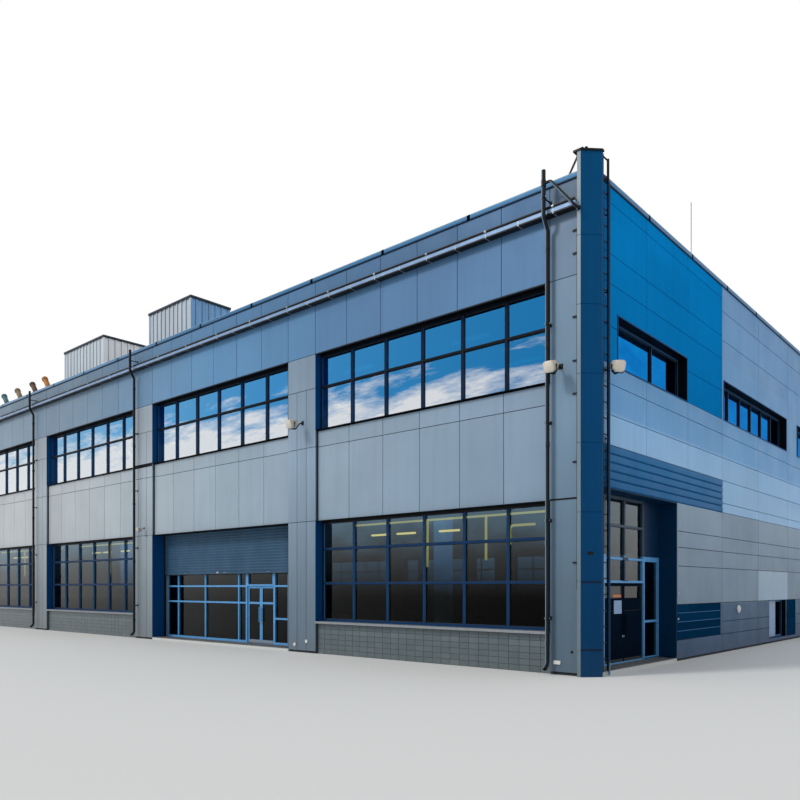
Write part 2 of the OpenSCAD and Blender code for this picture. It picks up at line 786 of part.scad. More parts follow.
module ground_window_frames() {
    h = ground_head_z - ground_sill_z;
    rails = [low_transom_z - ground_sill_z, high_transom_z - ground_sill_z];
    color("darkslategray") {
        for (k = bay_ids) if (k != shutter_bay)
            at_front(bay_u(k) + bay_opening, ground_reveal, ground_sill_z)
                glazed_frame(bay_opening, h, frame_d, rim_w, bar_w,
                    divisions(bay_opening, lights), rails);
        rotate(180) for (k = bay_ids)
            at_front(bay_u(k) + bay_opening, ground_reveal, ground_sill_z)
                glazed_frame(bay_opening, h, frame_d, rim_w, bar_w,
                    divisions(bay_opening, lights), rails);
        at_side(hatch_v, hatch_reveal, hatch_z)
            glazed_frame(hatch_w, hatch_h, side_frame_d, rim_w, bar_w, [hatch_w * 0.6], []);
    }
}

module ground_window_glass() {
    h = ground_head_z - ground_sill_z;
    color("lightblue", 0.5) {
        for (k = bay_ids) if (k != shutter_bay)
            at_front(bay_u(k) + bay_opening, ground_reveal, ground_sill_z)
                glass_sheet(bay_opening, h, frame_d, rim_w);
        rotate(180) for (k = bay_ids)
            at_front(bay_u(k) + bay_opening, ground_reveal, ground_sill_z)
                glass_sheet(bay_opening, h, frame_d, rim_w);
        at_side(hatch_v, hatch_reveal, hatch_z)
            glass_sheet(hatch_w, hatch_h, side_frame_d, rim_w);
    }
}

module upper_window_frames() {
    h = upper_head_z - upper_sill_z;
    color("black") {
        front_and_back() for (k = bay_ids)
            at_front(bay_u(k) + bay_opening, upper_reveal, upper_sill_z)
                glazed_frame(bay_opening, h, frame_d, rim_w, bar_w,
                    divisions(bay_opening, lights), [upper_transom_z - upper_sill_z]);
        both_sides() for (w = side_windows) at_side(w[0], side_reveal, side_sill_z)
            glazed_frame(w[1], side_head_z - side_sill_z, side_frame_d, rim_w, bar_w,
                w[2] == 2 ? [w[1] * 0.58] : divisions(w[1], w[2]), []);
    }
}

module upper_window_glass() {
    h = upper_head_z - upper_sill_z;
    color("skyblue", 0.5) {
        front_and_back() for (k = bay_ids)
            at_front(bay_u(k) + bay_opening, upper_reveal, upper_sill_z)
                glass_sheet(bay_opening, h, frame_d, rim_w);
        both_sides() for (w = side_windows) at_side(w[0], side_reveal, side_sill_z)
            glass_sheet(w[1], side_head_z - side_sill_z, side_frame_d, rim_w);
    }
}

// Sheet lining of a reveal: a thin ring, w by h, d deep
module lining_ring(w, h, d) {
    rotate([90, 0, 0]) translate([0, 0, -d]) linear_extrude(d) difference() {
        square([w, h]);
        translate([lining_t, lining_t]) square([w - 2 * lining_t, h - 2 * lining_t]);
    }
}

module window_linings() {
    h = upper_head_z - upper_sill_z;
    color("midnightblue") {
        front_and_back() for (k = bay_ids)
            at_front(bay_u(k) + bay_opening, 0, upper_sill_z) lining_ring(bay_opening, h, upper_reveal);
        for (k = bay_ids) if (k != shutter_bay)
            at_front(bay_u(k) + bay_opening, 0, ground_sill_z)
                portal(bay_opening, ground_head_z - ground_sill_z, ground_reveal, lining_t);
        rotate(180) for (k = bay_ids)
            at_front(bay_u(k) + bay_opening, 0, ground_sill_z)
                portal(bay_opening, ground_head_z - ground_sill_z, ground_reveal, lining_t);
        at_front(bay_u(shutter_bay) + bay_opening, 0, floor_z)
            portal(bay_opening, ground_head_z - floor_z, front_wall_t - 2, lining_t);
        both_sides() for (w = side_windows) at_side(w[0], 0, side_sill_z)
            lining_ring(w[1], side_head_z - side_sill_z, side_reveal);
        at_side(hatch_v, 0, hatch_z) lining_ring(hatch_w, hatch_h, hatch_reveal);
    }
}

// Roller shutter

guide_w = 60;
guide_d = 70;
guide_wall = 8;
bead_slat_r = 8.5;
curl_in_r = bead_slat_r + 0.5;
curl_r = curl_in_r + 3.5;
slat_t = 4;
rail_h = 90;
shutter_u = bay_u(shutter_bay);
slat_base_z = shutter_z + rail_h;
slat_count = ceil((ground_head_z + 250 - slat_base_z) / slat_pitch);
coil_r = 180;
coil_z = slat_base_z + slat_count * slat_pitch;
coil_in = shutter_in + bead_slat_r + 0.5 + coil_r;
box_in0 = front_wall_t + 5;
box_in1 = coil_in + coil_r + 32;
box_z0 = ground_head_z + 10;
box_z1 = coil_z + coil_r + 80;

// Section of one slat: bead on top, bowed web, and a curl that holds the next bead below
module slat_section() {
    bow = 10;
    half = slat_pitch / 2 - 16;
    bow_r = (half * half + bow * bow) / (2 * bow);
    neck = slat_t;
    translate([0, slat_pitch]) circle(r = bead_slat_r, $fn = 24);
    translate([-neck / 2, slat_pitch - 20]) square([neck, 20]);
    intersection() {
        translate([bow_r - bow, slat_pitch / 2]) difference() {
            circle(r = bow_r + slat_t, $fn = 96);
            circle(r = bow_r, $fn = 96);
        }
        translate([-40, curl_in_r]) square([60, slat_pitch - curl_in_r - 16]);
    }
    difference() {
        circle(r = curl_r, $fn = 24);
        circle(r = curl_in_r, $fn = 24);
        translate([-neck, -curl_r - 1]) square([2 * neck, curl_r + 1]);
    }
}

// Places a section, drawn as [inward, up], along the whole shutter opening
module along_shutter(length) {
    translate([right_x - shutter_u - bay_opening / 2 - length / 2, front_y + shutter_in, 0])
        rotate([90, 0, 90]) linear_extrude(length) children();
}

module shutter_curtain() {
    length = bay_opening - 2 * (guide_wall + 5);
    color("slategray") {
        for (i = [0:slat_count - 1])
            translate([0, 0, slat_base_z + i * slat_pitch]) along_shutter(length) slat_section();
        translate([0, 0, slat_base_z]) along_shutter(length) {
            circle(r = bead_slat_r, $fn = 24);
            translate([-slat_t / 2, -curl_r - 8]) square([slat_t, curl_r + 8]);
            translate([-18, -rail_h]) square([36, rail_h - curl_r - 4]);
        }
        translate([0, 0, coil_z]) along_shutter(bay_opening - 25)
            translate([coil_in - shutter_in, 0]) circle(r = coil_r);
    }
}

// Coil housing with its end plates, and the two guide channels under it
module shutter_housing() {
    sheet = 12;
    x1 = right_x - shutter_u;
    x0 = x1 - bay_opening;
    in0 = shutter_in - guide_d / 2;
    color("darkslategray") {
        difference() {
            front_block(shutter_u, shutter_u + bay_opening, box_in0, box_in1, box_z0, box_z1);
            front_block(shutter_u + sheet, shutter_u + bay_opening - sheet, box_in0 + sheet,
                box_in1 - sheet, box_z0 + sheet, box_z1 - sheet);
            front_block(shutter_u + sheet, shutter_u + bay_opening - sheet, box_in0 + sheet,
                shutter_in + 28, box_z0 - 1, box_z0 + sheet + 1);
        }
        for (side = [0, 1]) translate([side == 0 ? x0 : x1, front_y + shutter_in, floor_z])
            mirror([side, 0, 0]) linear_extrude(box_z0 - floor_z) difference() {
                translate([0, -guide_d / 2]) square([guide_w, guide_d]);
                translate([guide_wall, guide_wall - guide_d / 2])
                    square([guide_w, guide_d - 2 * guide_wall]);
            }
    }
}

// Entrances: everything is drawn as seen from outside, x to the right, y inwards, z up

recess_lining_t = 30;
axis_out = knuckle_r + 2;
front_leaf_w = (front_door_w - 2 * leaf_gap - meeting_gap) / 2;
side_leaf_w = (side_door_w - 2 * leaf_gap - meeting_gap) / 2;
leaf_foot_z = floor_z + 10;
screen_h = ground_head_z - floor_z;
front_left_w = bay_u(shutter_bay) + bay_opening - front_door_u - front_door_w;
front_right_w = front_door_u - bay_u(shutter_bay);
side_near_w = side_door_v - front_wall_t - recess_lining_t;
side_far_w = recess_v - recess_lining_t - side_door_v - side_door_w;
recess_h = band_z - recess_lining_t - floor_z;
light_foot = 60;

// Hinge halves on the jamb: lower knuckle with its pin, and a flange on the inner face
module jamb_hinges(x, left) {
    dir = left ? -1 : 1;
    for (z = hinge_zs) {
        translate([x, screen_d + axis_out, z]) {
            cylinder(h = hinge_h, r = knuckle_r);
            cylinder(h = 2 * hinge_h, r = hinge_pin_r);
        }
        block([x, screen_d, z], [x + dir * 45, screen_d + 8, z + hinge_h]);
    }
}

// Knuckles of the leaf, with their bores, over the jamb's knuckles
module leaf_hinges(x, left) {
    dir = left ? 1 : -1;
    for (z = hinge_zs) difference() {
        union() {
            translate([x, screen_d + axis_out, z + hinge_h + hinge_clear])
                cylinder(h = hinge_h - hinge_clear, r = knuckle_r);
            block([x, screen_d, z + hinge_h + hinge_clear],
                [x + dir * 45, screen_d + 8, z + 2 * hinge_h]);
        }
        translate([x, screen_d + axis_out, z])
            cylinder(h = 3 * hinge_h, r = hinge_pin_r + hinge_clear);
    }
}

// Upright pull bar on its two standoffs, on the outer and the inner face of a leaf
module pull_bars(x) {
    for (face = [[screen_d - leaf_t, -55], [screen_d, 55]]) {
        y = face[0] + face[1];
        translate([x, y, 850]) cylinder(h = 500, r = grip_r);
        for (z = [930, 1270]) rod([x, face[0], z], [x, y, z], grip_r * 0.6);
    }
}

// Door leaf: stiles and rails round the panes, given as [foot, head] above the leaf's foot
module door_leaf(w, h, panes, x0) {
    translate([x0, screen_d, leaf_foot_z]) rotate([90, 0, 0]) linear_extrude(leaf_t)
        difference() {
            square([w, h]);
            for (p = panes) translate([stile_w, p[0]]) square([w - 2 * stile_w, p[1] - p[0]]);
        }
}

module door_panes(w, panes, x0) {
    pane_t = 12;
    for (p = panes) translate([x0 + stile_w, screen_d - leaf_t / 2 - pane_t / 2,
        leaf_foot_z + p[0]]) cube([w - 2 * stile_w, pane_t, p[1] - p[0]]);
}

front_leaf_h = front_door_z - leaf_gap - leaf_foot_z;
side_leaf_h = side_door_z - leaf_gap - leaf_foot_z;
front_panes = [[110, 1355], [1425, front_leaf_h - stile_w]];
side_panes = [[1330, side_leaf_h - stile_w]];

module front_doorway() {
    at_front(front_door_u + front_door_w, screen_in, 0) children();
}

module side_doorway() { at_side(side_door_v, recess_d, 0) children(); }

module left_leaf(w, h, panes) {
    door_leaf(w, h, panes, leaf_gap);
    leaf_hinges(0, true);
    pull_bars(leaf_gap + w - stile_w / 2);
}

module right_leaf(door_w, w, h, panes) {
    door_leaf(w, h, panes, door_w - leaf_gap - w);
    leaf_hinges(door_w, false);
    pull_bars(door_w - leaf_gap - w + stile_w / 2);
}

module front_leaf_left() {
    color("steelblue") front_doorway() left_leaf(front_leaf_w, front_leaf_h, front_panes);
}
module front_leaf_right() {
    color("steelblue") front_doorway()
        right_leaf(front_door_w, front_leaf_w, front_leaf_h, front_panes);
}
module side_leaf_near() {
    color("midnightblue") side_doorway() left_leaf(side_leaf_w, side_leaf_h, side_panes);
}
module side_leaf_far() {
    color("midnightblue") side_doorway()
        right_leaf(side_door_w, side_leaf_w, side_leaf_h, side_panes);
}
module front_glass_left() {
    color("lightblue", 0.5) front_doorway() door_panes(front_leaf_w, front_panes, leaf_gap);
}
module front_glass_right() {
    color("lightblue", 0.5) front_doorway()
        door_panes(front_leaf_w, front_panes, front_door_w - leaf_gap - front_leaf_w);
}
module side_glass_near() {
    color("lightblue", 0.5) side_doorway() door_panes(side_leaf_w, side_panes, leaf_gap);
}
module side_glass_far() {
    color("lightblue", 0.5) side_doorway()
        door_panes(side_leaf_w, side_panes, side_door_w - leaf_gap - side_leaf_w);
}

// Fixed screens beside the doors, each with its jamb hinges
module entrance_screens() {
    left_u = bay_u(shutter_bay) + bay_opening;
    color("steelblue") {
        at_front(left_u, screen_in, floor_z)
            glazed_frame(front_left_w, screen_h, screen_d, rim_w, post_w,
                [for (f = screen_parts) f * front_left_w],
                [screen_rail_z - floor_z, front_door_z - floor_z]);
        at_front(front_door_u, screen_in, floor_z)
            glazed_frame(front_right_w, screen_h, screen_d, rim_w, post_w,
                [front_right_w / 2],
                [side_rail_z - floor_z, front_door_z - floor_z]);
        front_doorway() {
            jamb_hinges(0, true);
            jamb_hinges(front_door_w, false);
        }
        at_side(front_wall_t + recess_lining_t, recess_d, floor_z)
            cube([side_near_w, screen_d, recess_h]);
        at_side(side_door_v + side_door_w, recess_d, floor_z) difference() {
            cube([side_far_w, screen_d, recess_h]);
            translate([rim_w, -1, light_foot])
                cube([side_light_w, screen_d + 2, side_rail_z + 110 - floor_z - light_foot]);
            translate([rim_w, -1, side_rail_z + 170 - floor_z])
                cube([side_light_w, screen_d + 2, transom_light_z - side_rail_z - 170]);
        }
        side_doorway() {
            jamb_hinges(0, true);
            jamb_hinges(side_door_w, false);
        }
    }
}
side_light_w = side_light_end_v - side_door_v - side_door_w - rim_w;

// Fixed lights over the two doorways
side_header_rails = [transom_light_z + 40 - side_door_z, 3620 - side_door_z];
module entrance_headers() {
    color("steelblue") {
        at_front(front_door_u + front_door_w, screen_in, front_door_z)
            glazed_frame(front_door_w, ground_head_z - front_door_z, screen_d, post_w, post_w,
                [], []);
        at_side(side_door_v, recess_d, side_door_z)
            glazed_frame(side_door_w, recess_h + floor_z - side_door_z, screen_d, post_w, post_w,
                [side_door_w / 2], side_header_rails);
    }
}

module entrance_glass() {
    left_u = bay_u(shutter_bay) + bay_opening;
    pane_in = screen_d * 0.6;
    color("lightblue", 0.5) {
        at_front(left_u, screen_in, floor_z)
            glass_sheet(front_left_w, screen_h, screen_d, rim_w);
        at_front(front_door_u, screen_in, floor_z)
            glass_sheet(front_right_w, screen_h, screen_d, rim_w);
        at_front(front_door_u + front_door_w, screen_in, front_door_z)
            glass_sheet(front_door_w, ground_head_z - front_door_z, screen_d, post_w);
        at_side(side_door_v, recess_d, side_door_z)
            glass_sheet(side_door_w, recess_h + floor_z - side_door_z, screen_d, post_w);
        at_side(side_door_v + side_door_w, recess_d, floor_z) {
            translate([rim_w, pane_in, light_foot])
                cube([side_light_w, glass_t, side_rail_z + 110 - floor_z - light_foot]);
            translate([rim_w, pane_in, side_rail_z + 170 - floor_z])
                cube([side_light_w, glass_t, transom_light_z - side_rail_z - 170]);
        }
    }
}

// Portal of sheet, open at its foot, t thick, w by h, d deep
module portal(w, h, d, t) {
    rotate([90, 0, 0]) translate([0, 0, -d]) linear_extrude(d) difference() {
        square([w, h]);
        translate([t, -1]) square([w - 2 * t, h - t + 1]);
    }
}

module recess_lining() {
    color("midnightblue") at_side(front_wall_t, 0, floor_z)
        portal(recess_v - front_wall_t, band_z - floor_z, recess_d + screen_d, recess_lining_t);
}

// Lamps and roof

// Floodlight: a round head over a bent arm, pointing down and away from the wall
module floodlight() {
    arm_r = 20;
    head_r = 125;
    block([-60, -12, -65], [60, 0, 65]);
    rod([0, -10, -5], [0, -420, -240], arm_r);
    block([-24, -440, -264], [24, -400, -60]);
    rod([0, -300, -25], [0, -580, -125], head_r);
}

module wall_lamps() {
    lamp_z = 7200;
    lamp_v = 800;
    small = 0.55;
    color("antiquewhite") {
        translate(on_front(end_w - 290, 0, lamp_z)) floodlight();
        translate(on_front(bay_u(1) - 700, 0, lamp_z)) floodlight();
        translate(on_side(lamp_v, 0, lamp_z)) rotate(90) floodlight();
        // Small lamp low on the pilaster beside the shutter
        translate(on_front(bay_u(2) - 700, 0, 4400)) scale(small) floodlight();
    }
}

// Surface-mounted light strips under both ceilings
module ceiling_lights() {
    strip = [1500, 120, 70];
    rows = [2200, 5200, 8600, 12200];
    color("white") for (k = bay_ids, y_in = rows, z = [upper_floor_z - floor_t,
        deck_z - deck_t], s = [0.25, 0.75])
        translate([right_x - bay_u(k) - s * bay_opening - strip.x / 2, front_y + y_in,
            z - strip.z]) cube(strip);
}

// Plan of a box with trapezoidal ribs along one side of the given length
function ribbed_edge(len, n) = [for (i = [0:n - 1]) let (p = len / n, r = 30)
    each [[i * p, 0], [i * p + p * 0.62, 0], [i * p + p * 0.7, -r], [i * p + p * 0.92, -r]]];

// Moves and turns the points of an edge so that four edges go round a plan
function placed(points, at, a) = [for (q = points)
    [at.x + q.x * cos(a) - q.y * sin(a), at.y + q.x * sin(a) + q.y * cos(a)]];

module ribbed_box(w, d, h) {
    nw = round(w / rib_pitch);
    nd = round(d / rib_pitch);
    linear_extrude(h) polygon(concat(
        placed(ribbed_edge(w, nw), [0, 0], 0), placed(ribbed_edge(d, nd), [w, 0], 90),
        placed(ribbed_edge(w, nw), [w, d], 180), placed(ribbed_edge(d, nd), [0, d], 270)));
}

module roof_housings() {
    curb_h = 150;
    cap_t = 60;
    lip = 60;
    color("lightgray") for (b = [[23900, 3400, 2000], [32600, 4300, 2800]])
        translate([right_x - b[0], front_y + 2850, deck_z]) {
            block([-30, -30, 0], [b[1] + 30, b[2] + 30, curb_h]);
            translate([0, 0, curb_h]) ribbed_box(b[1], b[2], housing_h - curb_h - cap_t);
            block([-lip, -lip, housing_h - cap_t], [b[1] + lip, b[2] + lip, housing_h]);
        }
}

// Slanted exhaust cowl on a round base
module cowl() {
    r = 120;
    stem_h = cowl_h - 420;
    cylinder(h = 60, r = r + 70);
    cylinder(h = stem_h, r = r);
    translate([0, 0, stem_h]) sphere(r = r + 6);
    translate([0, 0, stem_h]) rotate([0, -42, 0]) {
        cylinder(h = 400, r = r);
        translate([0, 0, 400]) cylinder(h = 120, r = r + 35);
    }
}

module exhaust_cowls() {
    color("teal") for (u = [30600, 32100, 34000, 35800])
        translate(on_front(u, -1060, deck_z)) cowl();
}

module lightning_rod() {
    color("gray") translate([right_x - side_wall_t - 90, front_y + 7330, deck_z]) {
        cylinder(h = 20, r = 80);
        cylinder(h = 2850, r = 14);
        block([0, -15, 400], [90, 15, 430]);
    }
}

ground_slab();
upper_floor();
roof_deck();
inner_columns();
pilasters();
dado_walls();
window_sills();
facade_walls();
parapet_coping();
pilaster_cassettes();
spandrel_cassettes();
top_band_cassettes();
eaves_gutter();
downpipes();
corner_pier();
pier_cap_and_brace();
wall_conduits();
access_ladder();
side_walls();
side_wall_bands();
side_wall_infill();
blue_side_panels();
pale_side_panels();
siding_band();
navy_side_panels();
ground_window_frames();
ground_window_glass();
upper_window_frames();
upper_window_glass();
window_linings();
shutter_curtain();
shutter_housing();
entrance_screens();
entrance_headers();
entrance_glass();
recess_lining();
front_leaf_left();
front_leaf_right();
front_glass_left();
front_glass_right();
side_leaf_near();
side_leaf_far();
side_glass_near();
side_glass_far();
wall_lamps();
ceiling_lights();
roof_housings();
exhaust_cowls();
lightning_rod();
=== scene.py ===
"""Factory building: its finishes, its fittings and a studio to see it in.

Laid out as an add-on and run as a script. Lengths are metres in the frame of the packed model:
X along the front, the front faces -Y, Z up, origin at the centre of the footprint on the ground.
"""
import math

import bpy
import numpy as np
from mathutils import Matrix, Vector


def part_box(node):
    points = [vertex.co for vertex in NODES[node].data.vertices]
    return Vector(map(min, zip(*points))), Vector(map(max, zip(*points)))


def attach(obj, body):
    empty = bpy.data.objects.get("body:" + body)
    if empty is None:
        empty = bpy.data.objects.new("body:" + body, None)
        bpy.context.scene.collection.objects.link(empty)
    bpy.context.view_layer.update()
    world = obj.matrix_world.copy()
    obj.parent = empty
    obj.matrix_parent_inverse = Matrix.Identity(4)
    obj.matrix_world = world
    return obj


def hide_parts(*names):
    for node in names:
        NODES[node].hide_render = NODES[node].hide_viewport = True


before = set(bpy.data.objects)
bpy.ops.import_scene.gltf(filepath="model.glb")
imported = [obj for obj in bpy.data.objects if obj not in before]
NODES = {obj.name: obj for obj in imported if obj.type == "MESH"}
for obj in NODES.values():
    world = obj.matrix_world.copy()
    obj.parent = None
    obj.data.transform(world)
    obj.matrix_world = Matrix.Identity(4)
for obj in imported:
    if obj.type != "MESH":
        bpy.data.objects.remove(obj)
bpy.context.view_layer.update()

bl_info = {
    "name": "Factory building",
    "version": (1, 0, 0),
    "blender": (4, 5, 0),
    "location": "3D View > Sidebar > Factory",
    "description": "Finishes and fittings of a two-storey factory building",
    "category": "Object",
}

# Places that the frame gives
FRONT_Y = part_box("pilaster_cassettes")[0][1]
RIGHT_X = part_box("pale_side_panels")[1][0]
GROUND_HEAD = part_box("ground_window_frames")[1][2]
UPPER_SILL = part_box("upper_window_frames")[0][2]
UPPER_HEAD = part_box("upper_window_frames")[1][2]
DECK_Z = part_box("roof_deck")[1][2]
COPING_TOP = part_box("parapet_coping")[1][2]
PARAPET_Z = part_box("parapet_coping")[0][2]
BEAD_R = 0.032
GUTTER_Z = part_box("eaves_gutter")[1][2] - BEAD_R
GUTTER_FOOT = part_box("eaves_gutter")[0][2]
PIER_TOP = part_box("corner_pier")[1][2]
# Layout of the front, from the right corner: end wall, then bays and pilasters
END_W, BAY_W, BAY_PITCH, BAYS, LIGHTS = 1.1, 8.2, 9.5, 4, 6
PIER_W, SETBACK, SHUTTER_BAY = 0.34, 0.1, 1
GROUND_REVEAL, UPPER_REVEAL, SIDE_REVEAL, HATCH_REVEAL = 0.28, 0.2, 0.25, 0.15
RIM, BAR, GROUND_SILL, GUTTER_W = 0.075, 0.064, 1.0, 0.205
SIDE_WINDOWS = ((1.27, 4.43, 2), (8.79, 7.18, 6), (17.5, 7.18, 6))
SIDE_SILL, SIDE_HEAD = 7.31, 8.54
GROUND_RAILS, UPPER_RAILS = (2.17, 3.23), (8.25,)
HATCH_V, HATCH_W, HATCH_FOOT, HATCH_HEAD = 13.7, 2.2, 0.17, 1.58
FLOOR_Z, UPPER_FLOOR_Z = 0.1, 5.85
BODY = "building"
SHARP = math.radians(35)  # edges that turn by more than this stay sharp


# Sizes and colours that a user would change

def linear(code):
    """sRGB hex code to linear red, green, blue and alpha 1."""
    c = [int(code[i:i + 2], 16) / 255 for i in (1, 3, 5)]
    return tuple(v / 12.92 if v <= 0.04045 else ((v + 0.055) / 1.055) ** 2.4 for v in c) + (1.0,)


def length(name, description, default):
    """A size in metres."""
    return bpy.props.FloatProperty(name=name, description=description, default=default, min=0.001,
                                   precision=3, unit="LENGTH")


def coat(name, description, code):
    """A colour given by its hex code."""
    return bpy.props.FloatVectorProperty(name=name, description=description, default=linear(code),
                                         size=4, min=0.0, max=1.0, subtype="COLOR")


class FactoryStudio(bpy.types.PropertyGroup):
    lens: bpy.props.FloatProperty(name="Lens", description="Focal length of the camera",
                                  default=33.65, unit="CAMERA")
    shift_y: bpy.props.FloatProperty(name="Shift", description="Upward shift of the camera's view",
                                     default=0.234, subtype="FACTOR")
    eye_height: length("Eye height", "Height of the camera", 2.05)
    sun: bpy.props.FloatProperty(name="Sun", description="Strength of the soft sun", default=1.3)
    sky: bpy.props.FloatProperty(name="Sky", description="Strength of the even sky light",
                                 default=0.7)
    floor: coat("Floor", "Colour of the studio floor", "#dcdcda")


class FactoryLook(bpy.types.PropertyGroup):
    pipe_radius: length("Pipe radius", "Outer radius of the rainwater pipes", 0.05)
    strap_pitch: length("Strap pitch", "From one gutter strap to the next", 0.95)
    tile_joint: length("Tile joint", "Width of the joints between the tiles", 0.008)
    cap_width: length("Cap width", "Width of the pressure caps on the window bars", 0.032)
    lap_pitch: length("Lap pitch", "From one welded lap of the roof sheet to the next", 1.6)
    duct_radius: length("Duct radius", "Radius of the ventilation ducts indoors", 0.25)
    lamp_size: bpy.props.FloatProperty(name="Lamp size", description="Size of the floodlights",
                                       default=1.0, min=0.1, subtype="FACTOR")
    profiles: coat("Door profiles", "Powder coat of the entrance profiles", "#5d9fd6")
    pipes: coat("Pipes", "Coat of the rainwater pipes", "#10161c")
    lamps: coat("Lamps", "Enamel of the floodlight heads", "#cfc6b6")
    leaves: coat("Side doors", "Coat of the side entrance's leaves", "#071526")


# Shapes as arrays of points

def spots(x, y, z):
    """Points with these coordinates, each a number or an array."""
    return np.stack(np.broadcast_arrays(x, y, z), axis=-1).astype(float)


def on_front(u, out, z):
    """Points on the front: u from the right corner, out from the cladding, z up."""
    return spots(RIGHT_X - u, FRONT_Y - out, z)


def on_side(v, out, z):
    """Points on the right side: v back from the front, out from the cladding, z up."""
    return spots(RIGHT_X + out, FRONT_Y + v, z)


def on_roof(u, z, out):
    """Points over the roof, with the height before the distance out, as mitred() gives them."""
    return on_front(u, out, z)


def on_chamfer(a, out, z):
    """Points on the pier's chamfer: a along it from its middle, out from it, z up."""
    middle = (RIGHT_X - 0.075, FRONT_Y + 0.075)
    a, out = np.asarray(a, float), np.asarray(out, float)
    half = math.sqrt(0.5)
    return spots(middle[0] + (a + out) * half, middle[1] + (a - out) * half, z)


def unit(vectors):
    """Vectors divided by their lengths."""
    return vectors / np.linalg.norm(vectors, axis=-1, keepdims=True)


def skinned(grid, closed=False, finish=0):
    """Skin of n solids from a grid (n, rings, points, 3): each ring is joined to the next by quads and
    the two end rings are closed by polygons, or joined to each other where closed. A solid whose
    signed volume comes out negative has its faces turned round."""
    n, rings, m = grid.shape[:3]
    i = np.arange(rings if closed else rings - 1)[:, None]
    k = np.arange(m)
    nxt = (i + 1) % rings
    quads = np.stack([i * m + k, i * m + (k + 1) % m, nxt * m + (k + 1) % m, nxt * m + k], axis=-1)
    faces = [quads.reshape(1, -1, 4)]
    if not closed:
        faces.append(np.stack([k[::-1], (rings - 1) * m + k])[None])
    local = grid.reshape(n, -1, 3) - grid[:, :1, 0]
    volume = np.zeros(n)
    for f in faces:
        p = local[:, f[0]]
        for j in range(1, f.shape[2] - 1):
            volume += np.einsum("nfi,nfi->n", p[:, :, 0], np.cross(p[:, :, j], p[:, :, j + 1]))
    start = (np.arange(n) * rings * m)[:, None, None]
    turned = (volume < 0)[:, None, None]
    faces = [np.where(turned, f[..., ::-1], f) + start for f in faces]
    return grid.reshape(-1, 3), [f.reshape(-1, f.shape[2]) for f in faces], finish


def blocks(low, high, edge=0.003, finish=0):
    """Chamfered boxes between corners low and high (n, 3): an eight-cornered section is carried up
    z through four rings, the end rings drawn in by the chamfer."""
    low, high = np.atleast_2d(low).astype(float), np.atleast_2d(high).astype(float)
    low, high = np.broadcast_arrays(low, high)
    low, high = np.minimum(low, high), np.maximum(low, high)
    e = np.minimum(edge, 0.4 * (high - low).min(axis=1))[:, None, None]
    inset = np.array([1.0, 0, 0, 1])[None, :, None] * e
    cut = np.array([0.5, 1, 1, 0.5])[None, :, None] * e
    near = lambda c: low[:, None, None, c] + inset
    far = lambda c: high[:, None, None, c] - inset
    x = np.concatenate([near(0) + cut, far(0) - cut, far(0), far(0), far(0) - cut, near(0) + cut,
                        near(0), near(0)], axis=2)
    y = np.concatenate([near(1), near(1), near(1) + cut, far(1) - cut, far(1), far(1),
                        far(1) - cut, near(1) + cut], axis=2)
    z = np.stack([low[:, 2], low[:, 2] + e[:, 0, 0], high[:, 2] - e[:, 0, 0], high[:, 2]], axis=1)
    z = np.broadcast_to(z[:, :, None], x.shape)
    return skinned(np.stack([x, y, z], axis=-1), finish=finish)


def circle(radius, sides):
    """Closed section: radius times the cosine and sine of equal angles."""
    a = np.arange(sides) * 2 * math.pi / sides
    return radius * np.stack([np.cos(a), np.sin(a)], axis=-1)


def carried(path, section, up=(0, 0, 1), scale=None):
    """Rings of a section carried along a path: each point is path + s0 * side + s1 * top, where
    side = tangent x up and top = side x tangent, and scale widens the section along the path."""
    path, section = np.asarray(path, float), np.asarray(section, float)
    tangent = unit(np.gradient(path, axis=0))
    side = unit(np.cross(tangent, np.asarray(up, float)))
    top = np.cross(side, tangent)
    scale = np.ones(len(path)) if scale is None else np.asarray(scale, float)
    s = section[None] * scale[:, None, None]
    return path[:, None] + s[..., :1] * side[:, None] + s[..., 1:] * top[:, None]


def rod(path, radius, sides, up=(0, 0, 1), finish=0):
    """Round bar along a path: the circle carried along it."""
    return skinned(carried(path, circle(radius, sides), up)[None], finish=finish)


def pipe(path, radius, wall, sides, up=(0, 0, 1), finish=0):
    """Open round pipe: the outer circles along the path, then the inner ones back."""
    outer = carried(path, circle(radius, sides), up)
    inner = carried(path, circle(radius - wall, sides), up)
    return skinned(np.concatenate([outer, inner[::-1]])[None], closed=True, finish=finish)


def turned(profile, at, axis=(0, 0, 1), sides=24, finish=0):
    """Bodies of revolution: profile rows are (distance along the axis, radius), repeated at each
    point of at."""
    profile = np.asarray(profile, float)
    at = np.atleast_2d(np.asarray(at, float))
    axis = unit(np.asarray(axis, float))
    across = unit(np.cross(axis, [0.3, 0.9, 0.1] if abs(axis[1]) < 0.8 else [1, 0, 0]))
    third = np.cross(axis, across)
    ring = circle(1, sides)
    around = ring[:, :1] * across + ring[:, 1:] * third
    grid = (at[:, None, None] + profile[None, :, None, :1] * axis
            + profile[None, :, None, 1:] * around[None, None])
    return skinned(grid, finish=finish)


def band(radius, thick, half):
    """Profile of a ring round a pipe, thick from its inside out and half its width to each side."""
    return [(-half, radius), (-half, radius + thick), (half, radius + thick), (half, radius)]


